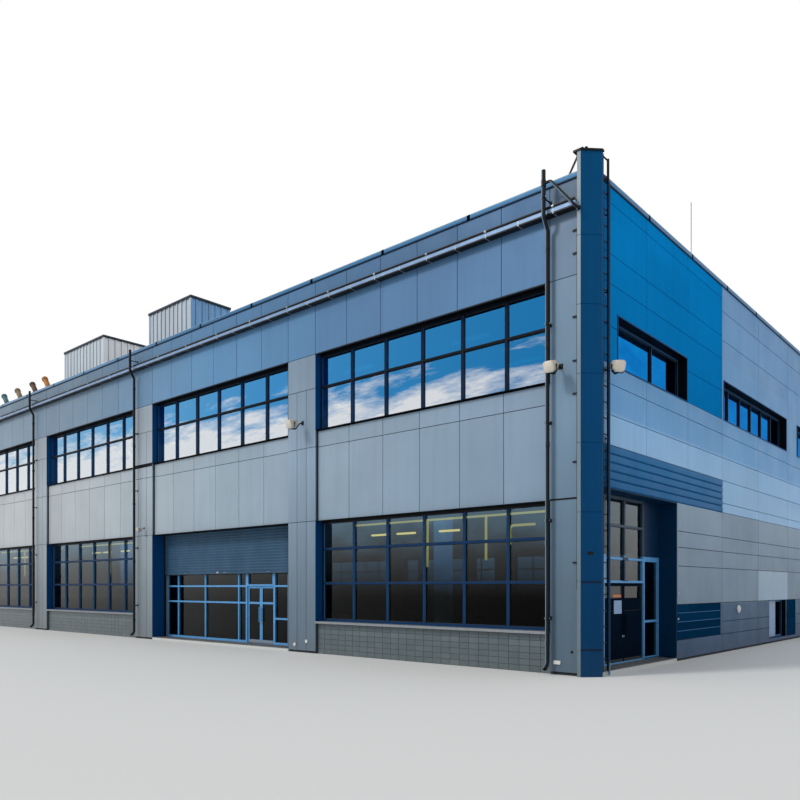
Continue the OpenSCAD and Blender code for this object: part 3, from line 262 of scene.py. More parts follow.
def rounded(points, radius, steps=6):
    """Path through corner points with each inner corner replaced by an arc: with the half turn t,
    the arc starts radius * tan(t) before the corner and follows the circle that touches both legs."""
    points = np.asarray(points, float)
    parts = [points[:1]]
    for p, q, s in zip(points[:-2], points[1:-1], points[2:]):
        d1, d2 = unit(q - p), unit(s - q)
        turn = math.acos(np.clip(d1 @ d2, -1, 1))
        inward = unit(d2 - d1 * (d1 @ d2))
        centre = q - d1 * radius * math.tan(turn / 2) + inward * radius
        a = np.linspace(0, turn, steps + 1)[:, None]
        parts.append(centre - inward * radius * np.cos(a) + d1 * radius * np.sin(a))
    return np.concatenate(parts + [points[-1:]])


def mitred(place, a0, a1, b0, b1, section, finish=0):
    """Rectangular rings with mitred corners, n at a time: the section's first number runs from the
    ring's edge inwards, its second one outwards from the wall. place turns (a, out, b) to points."""
    a0, a1, b0, b1 = (np.atleast_1d(np.asarray(q, float)) for q in np.broadcast_arrays(a0, a1, b0, b1))
    section = np.asarray(section, float)
    a = np.stack([a0, a1, a1, a0], axis=1)[:, :, None]
    b = np.stack([b0, b0, b1, b1], axis=1)[:, :, None]
    da = np.sign(np.stack([a1 - a0, a0 - a1, a0 - a1, a1 - a0], axis=1))[:, :, None]
    db = np.array([1, 1, -1, -1])[None, :, None]
    s, d = section[None, None, :, 0], section[None, None, :, 1]
    return skinned(place(a + da * s, d + 0 * a, b + db * s), closed=True, finish=finish)


def plates(low, high, edge, face=1, sign=-1, finish=0):
    """Thin plates between corners low and high (n, 3), chamfered round their outer face only: the
    outline is carried from the wall to the chamfer and, drawn in by it, to the outer face. face is
    the axis that they face along and sign its direction."""
    low, high = (np.atleast_2d(q).astype(float) for q in (low, high))
    low, high = np.minimum(low, high), np.maximum(low, high)
    a, b = [i for i in range(3) if i != face]
    depth = (high - low)[:, face]
    edge = np.minimum(edge, 0.45 * depth)
    inner = low[:, face] if sign > 0 else high[:, face]
    rings = []
    for inset, out in ((0, 0 * depth), (0, depth - edge), (edge, depth)):
        ring = np.empty((len(low), 4, 3))
        ring[:, :, face] = (inner + sign * out)[:, None]
        for k, (i, j) in enumerate(((0, 0), (1, 0), (1, 1), (0, 1))):
            ring[:, k, a] = high[:, a] - inset if i else low[:, a] + inset
            ring[:, k, b] = high[:, b] - inset if j else low[:, b] + inset
        rings.append(ring)
    return skinned(np.stack(rings, axis=1), finish=finish)


def back(surface):
    """The same surface on the back wall: turned half round about the vertical axis."""
    points, faces, finish = surface
    return points * (-1, -1, 1), faces, finish


def left(surface):
    """The same surface on the left side: mirrored in x, with its faces turned round to match."""
    points, faces, finish = surface
    return points * (-1, 1, 1), [f[:, ::-1] for f in faces], finish


def build(name, surfaces, finishes, body=BODY, replaces=(), tones=None):
    """One object from surfaces, each of which gives its finish as a number in the list of names.
    tones gives every point a number that its finish may read."""
    starts = np.cumsum([0] + [len(s[0]) for s in surfaces])
    points = np.concatenate([s[0] for s in surfaces])
    loops, sizes, numbers = [], [], []
    for (_, faces, finish), start in zip(surfaces, starts):
        for f in faces:
            loops.append((f + start).ravel())
            sizes.append(np.full(len(f), f.shape[1]))
            numbers.append(np.full(len(f), finish))
    loops, sizes = np.concatenate(loops), np.concatenate(sizes)
    mesh = bpy.data.meshes.new(name)
    mesh.vertices.add(len(points))
    mesh.vertices.foreach_set("co", points.ravel())
    mesh.loops.add(len(loops))
    mesh.loops.foreach_set("vertex_index", loops)
    mesh.polygons.add(len(sizes))
    mesh.polygons.foreach_set("loop_start", np.cumsum(sizes) - sizes)
    mesh.polygons.foreach_set("material_index", np.concatenate(numbers))
    mesh.polygons.foreach_set("use_smooth", np.ones(len(sizes), bool))
    for key in finishes:
        mesh.materials.append(FINISHES[key])
    if tones is not None:
        mesh.attributes.new("tone", "FLOAT", "POINT").data.foreach_set("value", tones)
    mesh.update(calc_edges=True)
    mesh.set_sharp_from_angle(angle=SHARP)
    piece = bpy.data.objects.new(name, mesh)
    bpy.context.collection.objects.link(piece)
    if replaces:
        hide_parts(*replaces)
    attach(piece, body)
    return piece


def front_boxes(u0, u1, out0, out1, z0, z1, edge, finish):
    """Chamfered boxes on the front wall."""
    return blocks(on_front(u0, out0, z0), on_front(u1, out1, z1), edge, finish)


def side_boxes(v0, v1, out0, out1, z0, z1, edge, finish=0):
    """Chamfered boxes on the right side wall."""
    return blocks(on_side(v0, out0, z0), on_side(v1, out1, z1), edge, finish)


def lengthwise(section, starts, length, place, finish=0):
    """One section of (out, z) points carried straight along a wall, n times, from each start."""
    section = np.asarray(section, float)
    starts = np.atleast_1d(np.asarray(starts, float))
    along = starts[:, None, None] + np.array([0, length])[None, :, None]
    grid = place(along, section[None, None, :, 0], section[None, None, :, 1])
    return skinned(grid, finish=finish)


def lights(start, width, foot, head, uprights, rails):
    """Panes of a window as arrays a0, a1, b0, b1: between its rim and its bars, which stand at the
    uprights from the start and at the heights rails."""
    def spans(low, high, bars):
        edges = np.concatenate([[low + RIM], (np.asarray(bars)[:, None]
                                              + [-BAR / 2, BAR / 2]).ravel(), [high - RIM]])
        return edges[::2], edges[1::2]

    a0, a1 = spans(start, start + width, start + np.asarray(uprights))
    b0, b1 = spans(foot, head, rails)
    return [q.ravel() for q in (*np.broadcast_arrays(a0[:, None], a1[:, None], b0[None], b1[None]),)]


# Finishes

SETTINGS = {"Mix": {"data_type": "RGBA"}}  # every blend here is one of colours


def feed(tree, node, *values, **named):
    """Feeds a node's open inputs, in their order or by name: a socket is linked to its input, and a
    number or a hex code is set on it."""
    places = [place for place in node.inputs if place.enabled][:len(values)]
    places += [node.inputs[key.replace("_", " ")] for key in named]
    for place, value in zip(places, [*values, *named.values()]):
        if isinstance(value, bpy.types.NodeSocket):
            tree.links.new(value, place)
        else:
            place.default_value = linear(value) if isinstance(value, str) else value


def add(tree, kind, *values, stops=(), **named):
    """Adds a node with its settings and links: named holds its properties and the inputs that are fed
    by name, values feed the first inputs, and stops are the places and colours of a ramp. Returns the
    first open output, from which .node.outputs leads to the others."""
    node = tree.nodes.new("ShaderNode" + kind)
    settings = {**SETTINGS.get(kind, {}), **{key: value for key, value in named.items()
                                             if hasattr(node, key)}}
    for key, value in settings.items():
        setattr(node, key, value)
    if stops:
        elements = node.color_ramp.elements
        for place, colour in stops[1:-1]:
            elements.new(place).color = colour
        for end in (0, -1):
            elements[end].position, elements[end].color = stops[end]
    feed(tree, node, *values, **{key: value for key, value in named.items() if key not in settings})
    return [place for place in node.outputs if place.enabled][0]


def start(name, **values):
    """A new material named for its finish: returns it, its tree, its shader and Object coordinates."""
    material = bpy.data.materials.new(name)
    material.use_nodes = True
    tree = material.node_tree
    shader = tree.nodes["Principled BSDF"]
    feed(tree, shader, **values)
    return material, tree, shader, add(tree, "TexCoord").node.outputs["Object"]


def noise(tree, coords, scale, stretch=(1, 1, 1), detail=4.0, rough=0.55):
    """Noise with features 1 / scale metres wide, stretched along the axes."""
    return add(tree, "TexNoise", add(tree, "Mapping", coords, Scale=stretch), Scale=scale,
               Detail=detail, Roughness=rough)


def relief(tree, coords, scale, detail, depth, strength):
    """Normals bent by noise with features 1 / scale metres wide and depth metres deep."""
    return add(tree, "Bump", Height=noise(tree, coords, scale, detail=detail), Distance=depth,
               Strength=strength)


def between(tree, value, low, high):
    """One where low < value < high, else nought."""
    return add(tree, "Math", add(tree, "Math", value, low, operation="GREATER_THAN"),
               add(tree, "Math", value, high, operation="LESS_THAN"), operation="MULTIPLY")


def ramped(tree, value, stops):
    """The colour that value meets on its way through stops of (value, hex code)."""
    low, high = stops[0][0], stops[-1][0]
    return add(tree, "ValToRGB", add(tree, "MapRange", value, low, high, 0, 1),
               stops=[((place - low) / (high - low), linear(code)) for place, code in stops])


def normals(tree):
    """The x, y and z of the surface's own direction."""
    normal = add(tree, "NewGeometry").node.outputs["Normal"]
    return add(tree, "SeparateXYZ", normal).node.outputs


def toned(tree, value, joints, seed):
    """A random tone 0 to 1 for each stretch between two joints along an axis."""
    low, high = min(joints) - 1, max(joints) + 1
    tones = np.random.default_rng(seed).random(len(joints) + 1)
    places = [0.0] + [(j - low) / (high - low) for j in sorted(joints)]
    tone = add(tree, "ValToRGB", add(tree, "MapRange", value, low, high, 0, 1),
               stops=[(p, (t, t, t, 1)) for p, t in zip(places, tones)])
    tone.node.color_ramp.interpolation = "CONSTANT"
    return tone


def panelled(tree, coords, colour, columns, rows, along=0, spread=0.05, seed=1):
    """colour, lighter or darker from panel to panel: the tone of a panel is the broken part of its
    column's tone plus five times its row's tone."""
    xyz = add(tree, "SeparateXYZ", coords).node.outputs
    column = toned(tree, xyz[along], columns, seed)
    row = toned(tree, xyz[2], rows, seed + 1)
    mixed = add(tree, "Math", row, 5.0, column, operation="MULTIPLY_ADD")
    tone = add(tree, "Math", mixed, operation="FRACT")
    bright = add(tree, "MapRange", tone, 0, 1, 1 - spread, 1 + spread)
    return add(tree, "Mix", 1.0, colour, bright, blend_type="MULTIPLY")


def weathered(tree, coords, colour, cloud=0.06, *, streaks, foot):
    """Large soft clouding, run-off streaks 0.1 to 0.3 m wide that hang for metres, and dust that
    fades out 0.8 m above the ground."""
    soft = add(tree, "MapRange", noise(tree, coords, 0.35, detail=3.0), 0.3, 0.7, 1 - cloud, 1 + cloud)
    run = noise(tree, coords, 5.0, (1, 1, 0.06), 5.0, 0.6)
    run = add(tree, "MapRange", run, 0.45, 0.75, 1.0, 1 - streaks)
    shade = add(tree, "Math", soft, run, operation="MULTIPLY")
    colour = add(tree, "Mix", 1.0, colour, shade, blend_type="MULTIPLY")
    height = add(tree, "SeparateXYZ", coords).node.outputs[2]
    low = add(tree, "MapRange", height, 0.0, 0.8, foot, 0.0)
    dusty = add(tree, "Math", low, noise(tree, coords, 3.0, detail=6.0), operation="MULTIPLY")
    return add(tree, "Mix", dusty, colour, "#6f6c66")


BAY_STARTS = END_W + BAY_PITCH * np.arange(BAYS)
FRONT_JOINTS = [RIGHT_X - PIER_W] + [RIGHT_X - float(b + i * BAY_W / LIGHTS)
                                     for b in BAY_STARTS for i in range(LIGHTS + 1)]
STRIP_JOINTS = [RIGHT_X - float(b - w * i / 3) for b, w in
                [(END_W, END_W - PIER_W)] + [(END_W + BAY_PITCH * k, BAY_PITCH - BAY_W)
                                             for k in range(1, BAYS)] for i in range(4)]
FRONT_ROWS = [4.1, 6.39, 6.9, 8.2, 9.25]
SIDE_JOINTS = [FRONT_Y + v for v in (2.95, 5.78, 8.65, 12.4, 16.15, 19.9, 23.65)]
SIDE_ROWS = [0.58, 0.98, 1.57, 2.64, 3.16, 3.61, 4.39, 4.69, 5.4, 6.11, 6.84, 7.31, 8.2, 9.2, 9.8,
             10.7, 11.1]


def coated_cassette(name, tint_ramp, columns, rows, along=0, spread=0.04, seed=1, streaks=0.07,
                    foot=0.25, metal=0.15, rough=0.45, shine=0.35, shade=None, patch=None):
    """Folded steel cassettes with a baked fluoropolymer coat: a satin, faintly metallic surface that
    fades a little along the wall, differs from panel to panel, bows by a few millimetres between its
    folds and has a fine orange-peel skin, drawn here 40 mm wide so that it shows. fade is an axis and
    the stops of the colour along it, shade a second pair that darkens it, and patch the y and z
    limits and the colour of sheets that were renewed."""
    material, tree, shader, coords = start(name, Metallic=metal, Roughness=rough,
                                           Specular_IOR_Level=shine)
    xyz = add(tree, "SeparateXYZ", coords).node.outputs
    colour = ramped(tree, xyz[tint_ramp[0]], tint_ramp[1])
    if patch:
        y0, y1, z0, z1, renewed = patch
        within = add(tree, "Math", between(tree, xyz[1], y0, y1), between(tree, xyz[2], z0, z1),
                     operation="MULTIPLY")
        colour = add(tree, "Mix", within, colour, renewed)
    # shade multiplies the colour by a ramp of painted shade
    if shade:
        colour = add(tree, "Mix", 1.0, colour, ramped(tree, xyz[shade[0]], shade[1]),
                     blend_type="MULTIPLY")
    base = panelled(tree, coords, colour, columns, rows, along, spread, seed)
    rougher = add(tree, "MapRange", noise(tree, coords, 1.2, detail=5.0), 0.3, 0.7, rough - 0.06,
                  rough + 0.08)
    peel = add(tree, "Math", noise(tree, coords, 25.0, detail=2.0), 0.02, operation="MULTIPLY")
    bow = add(tree, "Math", noise(tree, coords, 0.9, detail=1.0), peel, operation="ADD")
    feed(tree, shader, Base_Color=weathered(tree, coords, base, streaks=streaks, foot=foot),
         Roughness=rougher, Normal=add(tree, "Bump", Height=bow, Distance=0.02, Strength=0.3))
    return material


def coated_pier(name):
    """Folded steel lengths round the corner pier: pale grey on the front, deep blue on the chamfer
    and the side, darker towards the foot, where rain leaves its run-off."""
    material, tree, shader, coords = start(name, Metallic=0.05, Roughness=0.5, Specular_IOR_Level=0.04)
    z = add(tree, "SeparateXYZ", coords).node.outputs[2]
    blue = ramped(tree, z, ((0.0, "#0c3c64"), (5.4, "#0a4674"), (12.0, "#054d7c")))
    pale = ramped(tree, z, ((0.0, "#6c7b84"), (7.0, "#80919a"), (12.0, "#a1aeb4")))
    # front picks the face turned to the front, which takes the pale colour as a painted reflection
    front = add(tree, "Math", normals(tree)[1], -0.9, operation="LESS_THAN")
    feed(tree, shader, Base_Color=weathered(tree, coords, add(tree, "Mix", front, blue, pale),
                                            streaks=0.12, foot=0.1),
         Normal=relief(tree, coords, 0.8, 1.0, 0.02, 0.3))
    return material


def plastered(name, sheltered):
    """Painted plaster inside, matt and slightly uneven from the roller; where the wall lies behind
    the cladding it shows only in the open joints, as dark weather foil. sheltered gives the two
    half widths beyond which that is so."""
    material, tree, shader, coords = start(name, Roughness=0.85)
    x, y, z = add(tree, "SeparateXYZ", coords).node.outputs
    past = [add(tree, "Math", add(tree, "Math", socket, operation="ABSOLUTE"), half,
                operation="GREATER_THAN") for socket, half in zip((x, y), sheltered)]
    outside = add(tree, "Math", *past, operation="MAXIMUM")
    paint = add(tree, "Mix", noise(tree, coords, 0.7, detail=5.0), "#8e9290", "#a5a7a3")
    on_roof = add(tree, "Math", z, DECK_Z - 0.01, operation="GREATER_THAN")
    paint = add(tree, "Mix", on_roof, paint, "#77797b")
    feed(tree, shader, Base_Color=add(tree, "Mix", outside, paint, "#1d242a"),
         Normal=relief(tree, coords, 60.0, 3.0, 0.002, 0.4))
    return material


def floated_concrete(name, top, colours=("#515355", "#6b6b68")):
    """Power-floated concrete: mottled grey, worn smooth in places, with sawn joints 5 m apart; its
    underside is painted like the ceilings."""
    material, tree, shader, coords = start(name, Roughness=0.55)
    z = add(tree, "SeparateXYZ", coords).node.outputs[2]
    mottle = noise(tree, coords, 0.8, detail=8.0, rough=0.65)
    base = add(tree, "Mix", add(tree, "MapRange", mottle, 0.3, 0.7, 0, 1), *colours)
    saw = add(tree, "TexBrick", coords, "#ffffff", "#ffffff", Mortar=(0.25, 0.25, 0.25, 1), offset=0.0,
              Scale=0.2, Mortar_Size=0.0012, Brick_Width=1.0, Row_Height=1.0)
    base = add(tree, "Mix", 1.0, base, saw, blend_type="MULTIPLY")
    below = add(tree, "Math", z, top - 0.02, operation="LESS_THAN")
    feed(tree, shader, Base_Color=add(tree, "Mix", below, base, "#c6c8c6"),
         Roughness=add(tree, "MapRange", mottle, 0.3, 0.7, 0.35, 0.7),
         Normal=relief(tree, coords, 40.0, 4.0, 0.002, 0.5))
    return material


def roof_membrane(name):
    """Welded plastic roofing sheet on the deck: light grey, chalked by the sun, with dirt dried in
    shallow puddles; the underside is the painted ceiling of the upper storey."""
    material, tree, shader, coords = start(name, Roughness=0.75)
    z = add(tree, "SeparateXYZ", coords).node.outputs[2]
    puddles = noise(tree, coords, 0.25, detail=6.0, rough=0.6)
    base = add(tree, "Mix", add(tree, "MapRange", puddles, 0.45, 0.65, 0, 1), "#8d9092", "#6d6f6e")
    chalk = add(tree, "Math", noise(tree, coords, 9.0, detail=5.0), 0.5, operation="MULTIPLY")
    base = add(tree, "Mix", chalk, base, "#7f8283")
    below = add(tree, "Math", z, DECK_Z - 0.02, operation="LESS_THAN")
    feed(tree, shader, Base_Color=add(tree, "Mix", below, base, "#c8cac8"),
         Normal=relief(tree, coords, 30.0, 3.0, 0.003, 0.4))
    return material


def glazed_tile(name):
    """Extruded stoneware tiles with a thin salt glaze: each tile has its own shade of blue-grey, kept
    in its points as tone, and the glaze has small flecks and a soft shine."""
    material, tree, shader, coords = start(name, Roughness=0.35, Coat_Weight=0.2, Coat_Roughness=0.2)
    tone = add(tree, "Attribute", attribute_name="tone").node.outputs["Fac"]
    base = ramped(tree, tone, ((0.0, "#4c5b62"), (0.5, "#55646a"), (1.0, "#626f73")))
    fleck = noise(tree, coords, 45.0, detail=6.0, rough=0.7)
    flecked = add(tree, "Math", fleck, 0.35, operation="MULTIPLY")
    base = add(tree, "Mix", flecked, base, "#414b4e")
    feed(tree, shader, Base_Color=weathered(tree, coords, base, cloud=0.05, streaks=0.1, foot=0.25),
         Normal=add(tree, "Bump", Height=fleck, Distance=0.002, Strength=0.4))
    return material


def cement_joint(name):
    """Cement mortar behind the tiles: dark, rough and damp towards the ground."""
    material, tree, shader, coords = start(name, Roughness=0.95)
    y = add(tree, "SeparateXYZ", coords).node.outputs[1]
    inside = add(tree, "Math", add(tree, "Math", y, operation="ABSOLUTE"), abs(FRONT_Y) - 0.4,
                 operation="LESS_THAN")
    base = add(tree, "Mix", noise(tree, coords, 20.0, detail=6.0), "#2c3234", "#454b4b")
    feed(tree, shader, Base_Color=add(tree, "Mix", inside, base, "#c4c6c4"),
         Normal=relief(tree, coords, 120.0, 4.0, 0.002, 0.7))
    return material


def folded_metal(name, colour, metal, rough, spread=0.12, grain=8.0, worn="#aab2b8", shine=0.4,
                 flank=None):
    """Coated metal trim, bent or drawn: an even coat with slight fading, faint dirt and rubbed spots
    where the noise peaks. flank is the side, 1 right or -1 left, and the colour that weather has given
    the faces turned that way."""
    material, tree, shader, coords = start(name, Metallic=metal, Roughness=rough,
                                           Specular_IOR_Level=shine)
    soft = noise(tree, coords, grain, (1, 1, 1), 5.0, 0.6)
    bright = add(tree, "MapRange", soft, 0.3, 0.7, 1 - spread, 1 + spread * 0.5)
    base = add(tree, "Mix", 1.0, colour, bright, blend_type="MULTIPLY")
    # the faces turned to the flank take its colour as painted light
    if flank:
        sideways = add(tree, "Math", normals(tree)[0], flank[0], operation="MULTIPLY")
        base = add(tree, "Mix", add(tree, "MapRange", sideways, 0.05, 0.45, 0, 1), base, flank[1])
    rubbed = add(tree, "MapRange", noise(tree, coords, 60.0, detail=3.0), 0.68, 0.8, 0, 0.35)
    feed(tree, shader, Base_Color=add(tree, "Mix", rubbed, base, worn),
         Roughness=add(tree, "MapRange", soft, 0.3, 0.7, rough - 0.07, rough + 0.12),
         Normal=relief(tree, coords, 90.0, 2.0, 0.001, 0.25))
    return material


def gutter_steel(name):
    """Coated steel gutter: a bright steel-blue face with a black rolled bead above and a black drip
    edge below."""
    material, tree, shader, coords = start(name, Metallic=0.2, Roughness=0.4, Specular_IOR_Level=0.3)
    z = add(tree, "SeparateXYZ", coords).node.outputs[2]
    cloud = noise(tree, coords, 4.0, (1, 1, 0.3), 5.0)
    base = add(tree, "Mix", add(tree, "MapRange", cloud, 0.3, 0.7, 0, 1), "#7594bb", "#8aa8cc")
    # rim: the bead, black partly as painted shade; edge: painted shadow along the lower edge
    rim = add(tree, "Math", z, GUTTER_Z - BEAD_R, operation="GREATER_THAN")
    edge = add(tree, "Math", z, GUTTER_FOOT + 0.035, operation="LESS_THAN")
    black = add(tree, "Math", rim, edge, operation="MAXIMUM")
    feed(tree, shader, Base_Color=add(tree, "Mix", black, base, "#0b0d10"),
         Normal=relief(tree, coords, 1.5, 1.0, 0.01, 0.3))
    return material


def rolled_coping(name):
    """Folded aluminium coping, coated deep blue, its coat chalky on top and bleached at the far end,
    with a dark drip edge."""
    material, tree, shader, coords = start(name, Metallic=0.1, Roughness=0.45, Specular_IOR_Level=0.2)
    x, _, z = add(tree, "SeparateXYZ", coords).node.outputs
    blue = ramped(tree, x, ((-19.0, "#7f9cb5"), (-5.0, "#5c88ae"), (4.0, "#2f6a96"),
                            (19.4, "#3a78a6")))
    ragged = add(tree, "Math", noise(tree, coords, 6.0), 0.03, z, operation="MULTIPLY_ADD")
    chalk = add(tree, "MapRange", ragged, COPING_TOP - 0.03, COPING_TOP + 0.02, 0, 0.6)
    base = add(tree, "Mix", chalk, weathered(tree, coords, blue, 0.05, streaks=0.05, foot=0.0), "#9db3c4")
    low = add(tree, "MapRange", z, PARAPET_Z + 0.025, PARAPET_Z + 0.035, 1, 0)
    feed(tree, shader, Base_Color=add(tree, "Mix", low, base, "#14324f"),
         Normal=relief(tree, coords, 1.2, 1.0, 0.01, 0.3))
    return material


def sun_glass(name, foot, head):
    """Insulating glass with a blue sun-control coat: it mirrors most of the light in its own blue,
    hazier towards the foot of the window and the far end of the front, where dust dries in long
    streaks; the windows of the side walls have the deeper azure coat."""
    material, tree, shader, coords = start(name, Roughness=0.03, IOR=1.5, Transmission_Weight=1.0)
    x, y, z = add(tree, "SeparateXYZ", coords).node.outputs
    blue = ramped(tree, x, ((-16.0, "#8fc0de"), (-2.0, "#55a9de"), (8.0, "#3592d0"), (18.0, "#127ab8")))
    # cloud_noise, height and far shape the painted reflection of clouds
    cloud_noise = noise(tree, coords, 0.9, (0.5, 1, 2.4), 5.0, 0.6)
    height = add(tree, "MapRange", z, foot, head, 0.34, -0.2)
    far = add(tree, "MapRange", x, -16.0, 17.0, 0.28, -0.09)
    painted_light_mix = add(tree, "Math", cloud_noise, add(tree, "Math", height, far, operation="ADD"), operation="ADD")
    painted_clouds = add(tree, "MapRange", painted_light_mix, 0.52, 0.78, 0, 0.85)
    side = add(tree, "Math", add(tree, "Math", normals(tree)[0], operation="ABSOLUTE"), 0.5,
               operation="GREATER_THAN")
    # painted reflection: pale cloud colour mixed over the blue
    front = add(tree, "Mix", painted_clouds, blue, "#f4f4f3")
    azure = add(tree, "Mix", add(tree, "MapRange", cloud_noise, 0.35, 0.7, 0, 1), "#0078bd", "#1c8fd0")
    beyond = add(tree, "Math", y, FRONT_Y + 15.0, operation="GREATER_THAN")
    hatch = add(tree, "Mix", beyond, "#9fbad8", "#1c4f8a")
    azure = add(tree, "Mix", add(tree, "Math", z, 2.0, operation="LESS_THAN"), azure, hatch)
    feed(tree, shader, Base_Color=add(tree, "Mix", side, front, azure),
         Metallic=add(tree, "MapRange", side, 0, 1, 0.8, 0.96),
         Specular_Tint=add(tree, "Mix", side, "#ffffff", "#48b8e4"),
         Normal=relief(tree, coords, 1.1, 1.0, 0.01, 0.12))
    return material


def window_glass(name, tints, veil):
    """Clear insulating glass, tinted from foot to head: the panes stand a hair out of true, so what
    is seen in them bends a little. veil is how much of the sky their upper half mirrors; the foot,
    filmed with dust, mirrors little."""
    material, tree, shader, coords = start(name, Roughness=0.02, IOR=1.45, Transmission_Weight=1.0,
                                           Specular_IOR_Level=0.08)
    pane_noise = add(tree, "MapRange", noise(tree, coords, 0.5, (1, 1, 2.0), 3.0), 0.3, 0.7, -0.1, 0.1)
    height = add(tree, "MapRange", add(tree, "SeparateXYZ", coords).node.outputs[2], 1.8, 4.1, 0, 1)
    painted_light_mix = add(tree, "Math", height, pane_noise, operation="ADD")
    mirror = add(tree, "Math", pane_noise, 1.6, height, operation="MULTIPLY_ADD")
    # tints run from a painted shade at the foot to a painted sky reflection at the head
    feed(tree, shader, Base_Color=add(tree, "Mix", painted_light_mix, *tints),
         Metallic=add(tree, "MapRange", mirror, 0.45, 0.8, 0, veil),
         # the foot mirrors little: painted shade
         Specular_Tint=add(tree, "MapRange", height, 0, 0.6, 0.12, 1),
         Normal=relief(tree, coords, 1.1, 1.0, 0.01, 0.12))
    return material


def shutter_steel(name):
    """Roll-formed steel slats in a slate-blue coat, dulled by grease and dust that gathers above
    every hook, with scuffs along the bottom rail."""
    material, tree, shader, coords = start(name, Metallic=0.1, Roughness=0.5, Specular_IOR_Level=0.2)
    dirt = noise(tree, coords, 1.4, (1, 1, 0.5), 6.0, 0.6)
    base = add(tree, "Mix", add(tree, "MapRange", dirt, 0.35, 0.7, 0, 1), "#3b5c78", "#2e4f69")
    scuff = add(tree, "MapRange", noise(tree, coords, 14.0, (0.15, 1, 1.5), 4.0), 0.66, 0.74, 0, 0.25)
    feed(tree, shader, Base_Color=add(tree, "Mix", scuff, base, "#6d8397"),
         Normal=relief(tree, coords, 50.0, 2.0, 0.001, 0.3))
    return material


def rubber(name):
    """Extruded weather rubber: matt black, a little grey with age."""
    material, tree, shader, coords = start(name, Roughness=0.8)
    grey = add(tree, "Math", noise(tree, coords, 30.0), 0.4, operation="MULTIPLY")
    feed(tree, shader, Base_Color=add(tree, "Mix", grey, "#0d0e10", "#2a2c2e"))
    return material


def galvanised(name):
    """Hot-dip galvanised steel: spangles, drawn 30 mm wide so that they show, and white bloom where
    water stands."""
    material, tree, shader, coords = start(name, Metallic=0.7, Roughness=0.42)
    cell = add(tree, "TexVoronoi", coords, Scale=35.0).node.outputs["Color"]
    tone = add(tree, "SeparateXYZ", cell).node.outputs[0]
    base = add(tree, "Mix", tone, "#a9b0b5", "#8b9398")
    bloom = add(tree, "MapRange", noise(tree, coords, 2.0, detail=6.0), 0.55, 0.7, 0, 0.35)
    feed(tree, shader, Base_Color=add(tree, "Mix", bloom, base, "#c3c8c9"),
         Roughness=add(tree, "MapRange", tone, 0, 1, 0.32, 0.52))
    return material


def ribbed_steel(name):
    """Trapezoidal steel sheet of the plant housings: a pale grey coat, streaked by run-off from the
    cap; the right side of the nearer housing has a blue coat."""
    material, tree, shader, coords = start(name, Metallic=0.15, Roughness=0.5, Specular_IOR_Level=0.2)
    x, _, z = add(tree, "SeparateXYZ", coords).node.outputs
    side = add(tree, "Math", normals(tree)[0], 0.3, operation="GREATER_THAN")
    near = add(tree, "Math", x, HOUSING_SPLIT, operation="GREATER_THAN")
    flank = add(tree, "Mix", near, "#f0f4f8", "#80b1e0")
    base = add(tree, "Mix", side, add(tree, "Mix", near, "#c7d2db", "#b8c2cb"), flank)
    nx, ny, _ = normals(tree)
    # painted shade on the right-facing flanks of the ribs
    rib_shade = add(tree, "MapRange", add(tree, "Math", nx, ny, operation="MULTIPLY"), -0.3, -0.1, 0.75, 0)
    base = add(tree, "Mix", rib_shade, base, "#4f6172")
    base = add(tree, "Mix", add(tree, "Math", z, HOUSING_CAP, operation="GREATER_THAN"), base, "#3d5163")
    feed(tree, shader, Base_Color=weathered(tree, coords, base, 0.05, streaks=0.2, foot=0.0))
    return material


def entrance_coat(name, colour):
    """Powder coat of the entrance profiles: pale blue round the doors and their side lights; over the
    side doors the profiles are slate grey and the panel beside them midnight blue."""
    material, tree, shader, coords = start(name, Metallic=0.1, Roughness=0.4, Specular_IOR_Level=0.15)
    x, y, z = add(tree, "SeparateXYZ", coords).node.outputs
    soft = add(tree, "MapRange", noise(tree, coords, 6.0, detail=5.0), 0.3, 0.7, 0.88, 1.06)
    over = add(tree, "Math", add(tree, "Math", x, RIGHT_X - 1, operation="GREATER_THAN"),
               add(tree, "Math", z, 2.87, operation="GREATER_THAN"), operation="MULTIPLY")
    beside = add(tree, "Math", y, FRONT_Y + 3.93, operation="GREATER_THAN")
    upper = add(tree, "Mix", beside, "#3c4f61", "#0a2c4a")
    post = add(tree, "Math", between(tree, y, FRONT_Y + 2.6, FRONT_Y + 2.95),
               between(tree, z, 2.2, 2.82), operation="MULTIPLY")
    base = add(tree, "Mix", over, add(tree, "Mix", post, colour, "#1c3550"), upper)
    feed(tree, shader, Base_Color=add(tree, "Mix", 1.0, base, soft, blend_type="MULTIPLY"),
         Normal=relief(tree, coords, 90.0, 2.0, 0.001, 0.25))
    return material


def conduit_coat(name):
    """Painted steel conduit: near black on the front, pale blue on the side wall."""
    material, tree, shader, coords = start(name, Metallic=0.1, Roughness=0.45, Specular_IOR_Level=0.2)
    side = add(tree, "Math", add(tree, "SeparateXYZ", coords).node.outputs[0], RIGHT_X + 0.002,
               operation="GREATER_THAN")
    grime = add(tree, "MapRange", noise(tree, coords, 10.0, (1, 1, 0.3), 5.0), 0.3, 0.7, 0, 0.5)
    feed(tree, shader, Base_Color=add(tree, "Mix", side, add(tree, "Mix", grime, "#0c1118", "#1d252d"),
                                      add(tree, "Mix", grime, "#6494c0", "#456f97")))
    return material


def lamp_strip(name, strength=3.0, light="#fff0cf", cover=("#f2f0e8", "#e4e2da")):
    """Opal acrylic cover of a fluorescent fitting, lit from inside; or enamel right under one."""
    material, tree, shader, coords = start(name, Roughness=0.3, Emission_Color=light,
                                           Emission_Strength=strength)
    feed(tree, shader, Base_Color=add(tree, "Mix", noise(tree, coords, 8.0), *cover))
    return material


